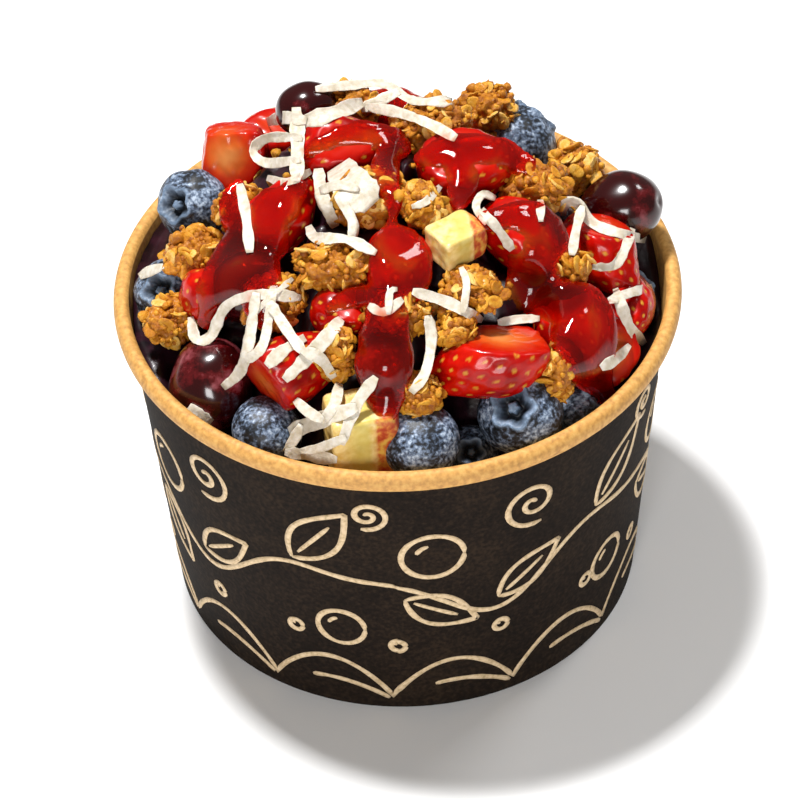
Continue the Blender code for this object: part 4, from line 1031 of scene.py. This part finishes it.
surface = heap_surface()
loose = []
for x, y in np.vstack(spots):
    hit, normal, face, _ = surface.ray_cast(Vector((x * MM, y * MM, 0.2)), Vector((0, 0, -1)))
    inside = math.hypot(x, y) < RIM_RADIUS - ROLL_WIDTH - 3
    if inside and hit is not None and normal.z > STEEPEST and heap["slots"][face] in ("acai", "granola"):
        loose.append((np.array(hit) / MM - (0, 0, CUP_HEIGHT), np.array(normal)))

# %% Oats and crumbs on the heap
FLAT_SHARE = 0.45
CRUMB_LIFT = 0.15

places, facing = np.array(loose).transpose(1, 0, 2)
turns = lying(facing, random_turns(draw, len(loose))[:, 0])
flat = draw.random(len(loose)) < FLAT_SHARE
big, small = draw.uniform(1.4, 2.2, len(loose)), 0.4 + 1.1 * draw.random(len(loose)) ** 2
oats = many(flake_shape, flake_faces, turns[flat], big[flat], places[flat])
lifted = places + facing * CRUMB_LIFT
bits = many(crumb_shape, crumb_faces, turns[~flat], small[~flat], lifted[~flat])
points, faces = joined([oats, bits])
tint = np.concatenate(tints(draw, flat.sum(), 0.95, (~flat).sum()))
add_piece("loose_oats_and_crumbs", points, faces, toasted_oats, [], "granola", {"tint": tint})
print("loose pieces:", len(loose))

# %% [markdown]
# ## Syrup
# The syrup is a thick red glaze that was poured from above, so it lies as pools and threads over
# whatever it met, bridges narrow gaps and ends in a round edge. Each pool is a grid in the picture
# plane. Rays from the eye find the heap under it, the film is pulled taut over that, and its
# thickness swells from the edge.

# %% Lines of sight and lines of flow
VIEW_DISTANCE = 1100.0
VIEWS = {"front": (0, 41.8), "back": (180, 50.0)}


def rays_of(view, flat):
    """The eye, and unit directions from it through points (right, up) of the picture plane."""
    a, e = (math.radians(angle) for angle in VIEWS[view])
    back = np.array((math.sin(a) * math.cos(e), -math.cos(a) * math.cos(e), math.sin(e)))
    right = np.array((math.cos(a), math.sin(a), 0))
    eye, up = back * VIEW_DISTANCE, np.cross(back, right)
    return eye, unit(flat[..., :1] * right + flat[..., 1:2] * up - eye)


def depths(surface, eye, rays):
    """How far along each ray the surface lies, in millimetres, or not a number where it misses."""
    start = Vector((eye + (0, 0, CUP_HEIGHT)) * MM)
    hits = [surface.ray_cast(start, Vector(ray))[3] for ray in rays.reshape(-1, 3)]
    return np.array([np.nan if hit is None else hit / MM for hit in hits]).reshape(rays.shape[:-1])


def smooth_line(points, step):
    """Points about a step apart on the Catmull-Rom curve through the given rows of numbers."""
    rows = np.array(points, float)
    padded = np.vstack([2 * rows[0] - rows[1], rows, 2 * rows[-1] - rows[-2]])
    line = []
    for p0, p1, p2, p3 in zip(padded, padded[1:], padded[2:], padded[3:]):
        count = max(1, round(float(np.hypot(*(p2 - p1)[:2])) / step))
        t = (np.arange(count) / count)[:, None]
        line.append(0.5 * (2 * p1 + (p2 - p0) * t + (2 * p0 - 5 * p1 + 4 * p2 - p3) * t * t
                           + (3 * p1 - p0 - 3 * p2 + p3) * t ** 3))
    return np.vstack(line + [rows[-1:]])


# %% Syrup finish
# A clear glaze with mirror-sharp glints: amber where it is thin and deep red where it is thick.
syrup_glaze, tree, shader, place = new_material(
    "red_fruit_syrup", Roughness=0.03, IOR=1.4, Transmission_Weight=0.85,
)
tone = ramp(
    tree, mask(tree, "thick"),
    (0.0, "#FBCB74"), (1.0, "#980802"), (0.18, "#F2701A"), (0.4, "#EC2204"), (0.7, "#D20E02"),
)
dress(tree, shader, tone)

# %% The footprint of a pool
SYRUP_CELL = 0.75
GRID_MARGIN = 9
EDGE_RIPPLE = 0.45


def inside_pool(points, links, number):
    """How far inside the edge each point of the picture plane lies.

    It is half the width of a stream less the distance to it, with a ripple for an uneven edge.
    """
    start, way = links[:, 0, :2], links[:, 1, :2] - links[:, 0, :2]
    gap = points[..., None, :] - start
    share = np.clip((gap * way).sum(-1) / (way ** 2).sum(-1), 0, 1)
    reach = (links[:, 0, 2] * (1 - share) + links[:, 1, 2] * share) / 2
    distance = np.linalg.norm(gap - way * share[..., None], axis=-1)
    return (reach - distance).max(-1) + EDGE_RIPPLE * ripple(points, 6, 400 + number)


def footprint(view, streams, number, surface):
    """A grid over the pool, its outer points moved onto the edge by their distance from it.

    Returns the points, how far inside each lies, the cells in use, the points in use and which of
    those are on the edge. Where rays miss the heap, the footprint shrinks.
    """
    lines = [smooth_line(stream, SYRUP_CELL * 2) for stream in streams]
    links = np.concatenate([np.stack([line[:-1], line[1:]], 1) for line in lines])
    low = links[..., :2].min((0, 1)) - GRID_MARGIN
    high = links[..., :2].max((0, 1)) + GRID_MARGIN
    across, upward = np.ceil((high - low) / SYRUP_CELL).astype(int)
    flat = low + SYRUP_CELL * np.stack(np.meshgrid(np.arange(across), np.arange(upward), indexing="ij"), -1)
    d = inside_pool(flat, links, number)
    eye, rays = rays_of(view, flat)
    around = d > -2 * SYRUP_CELL
    seen = np.zeros(d.shape)
    seen[around] = depths(surface, eye, rays[around])
    for miss in np.argwhere(np.isnan(seen)):
        d = np.minimum(d, SYRUP_CELL * (np.hypot(*(np.indices(d.shape) - miss[:, None, None])) - 2))
    slope = np.stack(np.gradient(d, SYRUP_CELL), -1)
    slope /= np.maximum(np.linalg.norm(slope, axis=-1), 0.3)[..., None]
    kept = d > -0.3 * SYRUP_CELL
    cells = kept[:-1, :-1] & kept[1:, :-1] & kept[1:, 1:] & kept[:-1, 1:]
    near = np.pad(cells, 1)
    cells_round = near[:-1, :-1].astype(int) + near[1:, :-1] + near[1:, 1:] + near[:-1, 1:]
    border = (cells_round > 0) & (cells_round < 4)
    step = np.clip(d, -0.5 * SYRUP_CELL, 1.4 * SYRUP_CELL)
    flat = np.where(border[..., None], flat - slope * step[..., None], flat)
    return flat, np.where(border, 0, np.maximum(d, 0)), cells, cells_round > 0, border


# %% The film of a pool
SYRUP_MIDDLE = 2.0
SYRUP_SHOULDER = 2.6
SYRUP_SINK = 0.35
EDGE_THICKNESS = 0.12
THINNEST = 0.1
BRIDGE_DEPTH = 1.2
TAUT_ROUNDS = 26
SMOOTH_ROUNDS = 10
DEEP_RED = 3.2


def near_average(field, here):
    """The mean of those of each grid value's four neighbours that the footprint holds."""
    p = np.pad(field * here, 1)
    n = np.pad(here.astype(float), 1)
    total = p[:-2, 1:-1] + p[2:, 1:-1] + p[1:-1, :-2] + p[1:-1, 2:]
    return total / np.maximum(n[:-2, 1:-1] + n[2:, 1:-1] + n[1:-1, :-2] + n[1:-1, 2:], 1)


def film_depths(flat, d, here, border, ground, number):
    """How far along the rays the film's top and its underside lie.

    The thickness is T sqrt(1 - (1 - d / s) ** 2) up to the shoulder s and T beyond it.
    """
    film = ground.copy()
    for _ in range(TAUT_ROUNDS):
        film = np.where(here, np.minimum(ground, near_average(film, here)), film)
    for _ in range(SMOOTH_ROUNDS):
        film = np.where(here, np.minimum(near_average(film, here), ground + SYRUP_SINK), film)
    swell = np.sqrt(1 - (1 - np.clip(d / SYRUP_SHOULDER, 0, 1)) ** 2)
    body = SYRUP_MIDDLE * (0.85 + 0.35 * ripple(flat, 13, 450 + number))
    top = film - EDGE_THICKNESS - body * swell
    for _ in range(SMOOTH_ROUNDS):
        top = np.where(border | ~here, top, near_average(top, here))
    under = np.minimum(ground + SYRUP_SINK, film + BRIDGE_DEPTH)
    return np.minimum(top, film - THINNEST), np.maximum(under, film + THINNEST)


def pool(view, streams, number, surface):
    """A closed film over a footprint: the top, the underside and a wall between their edges."""
    flat, d, cells, here, border = footprint(view, streams, number, surface)
    eye, rays = rays_of(view, flat)
    far = np.full(d.shape, np.nan)
    far[here] = depths(surface, eye, rays[here])
    ground = np.where(np.isnan(far), np.nanmedian(far), far)
    top, under = film_depths(flat, d, here, border, ground, number)
    count = int(here.sum())
    names = -np.ones(d.shape, int)
    names[here] = np.arange(count)
    points = np.vstack([eye + rays[here] * side[here][:, None] for side in (top, under)])
    i, j = np.nonzero(cells)
    square = np.stack([names[i, j], names[i + 1, j], names[i + 1, j + 1], names[i, j + 1]], -1)
    sides = np.vstack([square[:, [k, (k + 1) % 4]] for k in range(4)]).tolist()
    known = {tuple(side) for side in sides}
    rim = np.array([side for side in sides if (side[1], side[0]) not in known])
    wall = np.stack([rim[:, 1], rim[:, 0], rim[:, 0] + count, rim[:, 1] + count], -1)
    thickness = np.clip((under - top)[here] / DEEP_RED, 0, 1)
    return points, [square, square[:, ::-1] + count, wall], np.tile(thickness, 2)


# %% Syrup
surface = heap_surface()
pools = [pool(*row, number, surface) for number, row in enumerate(SYRUP)]
for number, (points, faces, thickness) in enumerate(pools):
    name = f"syrup_pool_{number + 1}"
    add_piece(name, points, faces, syrup_glaze, [], None, {"thick": thickness})
    print("pool", number + 1, "points:", len(points))
points, faces = joined([(points, faces) for points, faces, _ in pools])
syrup_surface = BVHTree.FromPolygons(points.tolist(), [face for group in faces for face in group.tolist()])

# %% [markdown]
# ## Coconut
# Shreds of fresh coconut, planed thin and cut square, with one wide curl. Each is laid down from
# the eye's side like the syrup and pulled straight over the gaps, since it is stiff. Shreds laid
# later lie on the earlier ones.

# %% Coconut finish
# White flesh with fine fibres that lets a little light in, stained orange where syrup has wet it.
coconut_flesh, tree, shader, place = new_material(
    "shredded_coconut", Roughness=0.42, Subsurface_Weight=0.2, Subsurface_Radius=(0.002, 0.0016, 0.001),
)
tone = ramp(tree, noise(tree, place, 1.5, 4.0), (0.34, "#C6BAA2"), (0.62, "#DFD7C9"))
stained = mixed(tree, mask(tree, "wet"), tone, "#C9561F")
dress(tree, shader, stained, noise(tree, place, 0.7, 3.0), 0.6, 0.3)

# %% Coconut shapes
SHRED_STEP = 0.8
SHRED_THICKNESS = 0.5
SECTION_POINTS = 16
SECTION_POWER = 0.4
COLUMNS_ACROSS = 9
PULL_ROUNDS = 60
EASE_ROUNDS = 4


def pulled_straight(ground):
    """Where a stiff strip lies: near the highest ground across it, and straight over the gaps along it."""
    lie = np.repeat(ground.min(1)[:, None], COLUMNS_ACROSS, 1) * 0.75 + ground * 0.25
    taut = lie.copy()
    for _ in range(PULL_ROUNDS):
        taut[1:-1] = np.minimum(lie[1:-1], (taut[:-2] + taut[2:]) / 2)
    for _ in range(EASE_ROUNDS):
        taut[1:-1] = (taut[:-2] + 2 * taut[1:-1] + taut[2:]) / 4
    return taut


def rounded_square():
    """Points of the strip's section, |x| ** 5 + |z| ** 5 = 1."""
    q = np.arange(SECTION_POINTS) * 2 * np.pi / SECTION_POINTS + 0.26
    return [np.sign(value) * np.abs(value) ** SECTION_POWER for value in (np.cos(q), np.sin(q))]


def shred(view, width, line, number, surface):
    """A strip with a rounded square section, whose edges curl up with the square of x."""
    line = smooth_line(line, SHRED_STEP)
    half = width / 2 * (1 + 0.14 * ripple(line, 4, 700 + number) + 0.07 * ripple(line, 1.2, 800 + number))
    from_end = SHRED_STEP * np.minimum(np.arange(len(line)), np.arange(len(line))[::-1])
    half *= 0.6 + 0.4 * smooth_step(0, 1.6, from_end)
    aside = (left_of(line) * half[:, None])[:, None]
    columns = np.linspace(-1, 1, COLUMNS_ACROSS)[:, None]
    ground = depths(surface, *rays_of(view, line[:, None] + aside * columns))
    taut = pulled_straight(np.where(np.isnan(ground), np.nanmax(ground), ground))
    x, z = rounded_square()
    at = np.clip((x + 1) / 2 * (COLUMNS_ACROSS - 1), 0, COLUMNS_ACROSS - 1.001)
    k = at.astype(int)
    far = taut[:, k] * (1 - at + k) + taut[:, k + 1] * (at - k)
    eye, rays = rays_of(view, line[:, None] + aside * x[:, None])
    lift = SHRED_THICKNESS * (0.35 + 0.5 * z) + (0.06 + 0.016 * width) * width / 2 * x ** 2
    points = eye + rays * (far - lift)[..., None]
    end = np.arange(SECTION_POINTS)
    ends = np.array([end, end[::-1] + (len(line) - 1) * SECTION_POINTS])
    return points.reshape(-1, 3), [ring_quads(len(line), SECTION_POINTS), ends]


# %% Coconut
WET_REACH = 3.0
WETTEST = 0.8

shreds = [(view, width, line) for view, rows in COCONUT.items() for width, *line in rows]
for number, (view, width, line) in enumerate(shreds):
    points, faces = shred(view, width, line, number, heap_surface())
    found = [syrup_surface.find_nearest(Vector(point), WET_REACH)[3] for point in points]
    gap = np.array([WET_REACH if distance is None else distance for distance in found])
    stain = smooth_step(-0.2, 0.9, ripple(points, 9, 900 + number))
    wet = WETTEST * smooth_step(0.8, 0.1, gap) * stain
    add_piece(f"coconut_shred_{number + 1}", points, faces, coconut_flesh, [], None, {"wet": wet})
print("shreds:", len(shreds))

# %% [markdown]
# ## Stage
# A pale table, a small strong light high behind on the left, which casts the one clear shadow, and
# weaker light from the front and from behind on the right, as in a bright studio.

# %% Floor and lights
bpy.ops.mesh.primitive_plane_add(size=6)
floor = bpy.context.object
floor.name = "table"
# A matt, nearly white surface that shows the shadow and nothing else.
table, tree, shader, place = new_material("pale_table", Roughness=0.6, Base_Color=srgb("#FAFAFA"))
floor.data.materials.append(table)


def soft_light(name, place, size, power):
    """A square area light that faces the bowl."""
    light = bpy.data.lights.new(name, "AREA")
    light.energy = power
    light.size = size
    thing = bpy.data.objects.new(name, light)
    thing.location = place
    thing.rotation_euler = (Vector((0, 0, 0.06)) - Vector(place)).to_track_quat("-Z", "Y").to_euler()
    bpy.context.scene.collection.objects.link(thing)


soft_light("window_light", (-0.22, 0.2, 1.18), 0.13, 18.5)
soft_light("front_light", (-0.1, -1.1, 0.5), 0.4, 7)
soft_light("back_right_light", (0.5, 0.4, 0.85), 0.2, 2)
scene = bpy.context.scene
scene.world = bpy.data.worlds.new("pale_room")
scene.world.use_nodes = True
sky = scene.world.node_tree.nodes["Background"]
sky.inputs["Color"].default_value = srgb("#FBF7F2")
sky.inputs["Strength"].default_value = 0.17
scene.view_settings.view_transform = "Standard"

# %% Camera
# It looks down at the rim's middle, a little off the picture's middle and rolled by the photo's tilt.
LENS = 245.0
PIXELS_PER_RADIAN = 5445
ELEVATION, ROLL = math.radians(41.8), math.radians(-2.18)
PIXELS_RIGHT, PIXELS_UP = 2.9, 118.2
DISTANCE = 1.1

camera = bpy.data.objects.new("camera", bpy.data.cameras.new("camera"))
camera.data.sensor_width = 36
camera.data.lens = LENS
camera.data.clip_start = 0.05
back = Vector((0, -math.cos(ELEVATION), math.sin(ELEVATION)))
right = Vector((1, 0, 0))
up = back.cross(right)
c, s = math.cos(ROLL), math.sin(ROLL)
a = (c * PIXELS_RIGHT + s * PIXELS_UP) / PIXELS_PER_RADIAN
b = (c * PIXELS_UP - s * PIXELS_RIGHT) / PIXELS_PER_RADIAN
ahead = (right * a - up * b - back).normalized()
side = (right - ahead * right.dot(ahead)).normalized()
turn = Matrix((side, (-ahead).cross(side), -ahead)).transposed() @ Matrix.Rotation(ROLL, 3, "Z")
camera.matrix_world = Matrix.Translation(Vector((0, 0, CUP_HEIGHT * MM)) + back * DISTANCE) @ turn.to_4x4()
scene.collection.objects.link(camera)
scene.camera = camera

# %% Update the scene
bpy.context.view_layer.update()
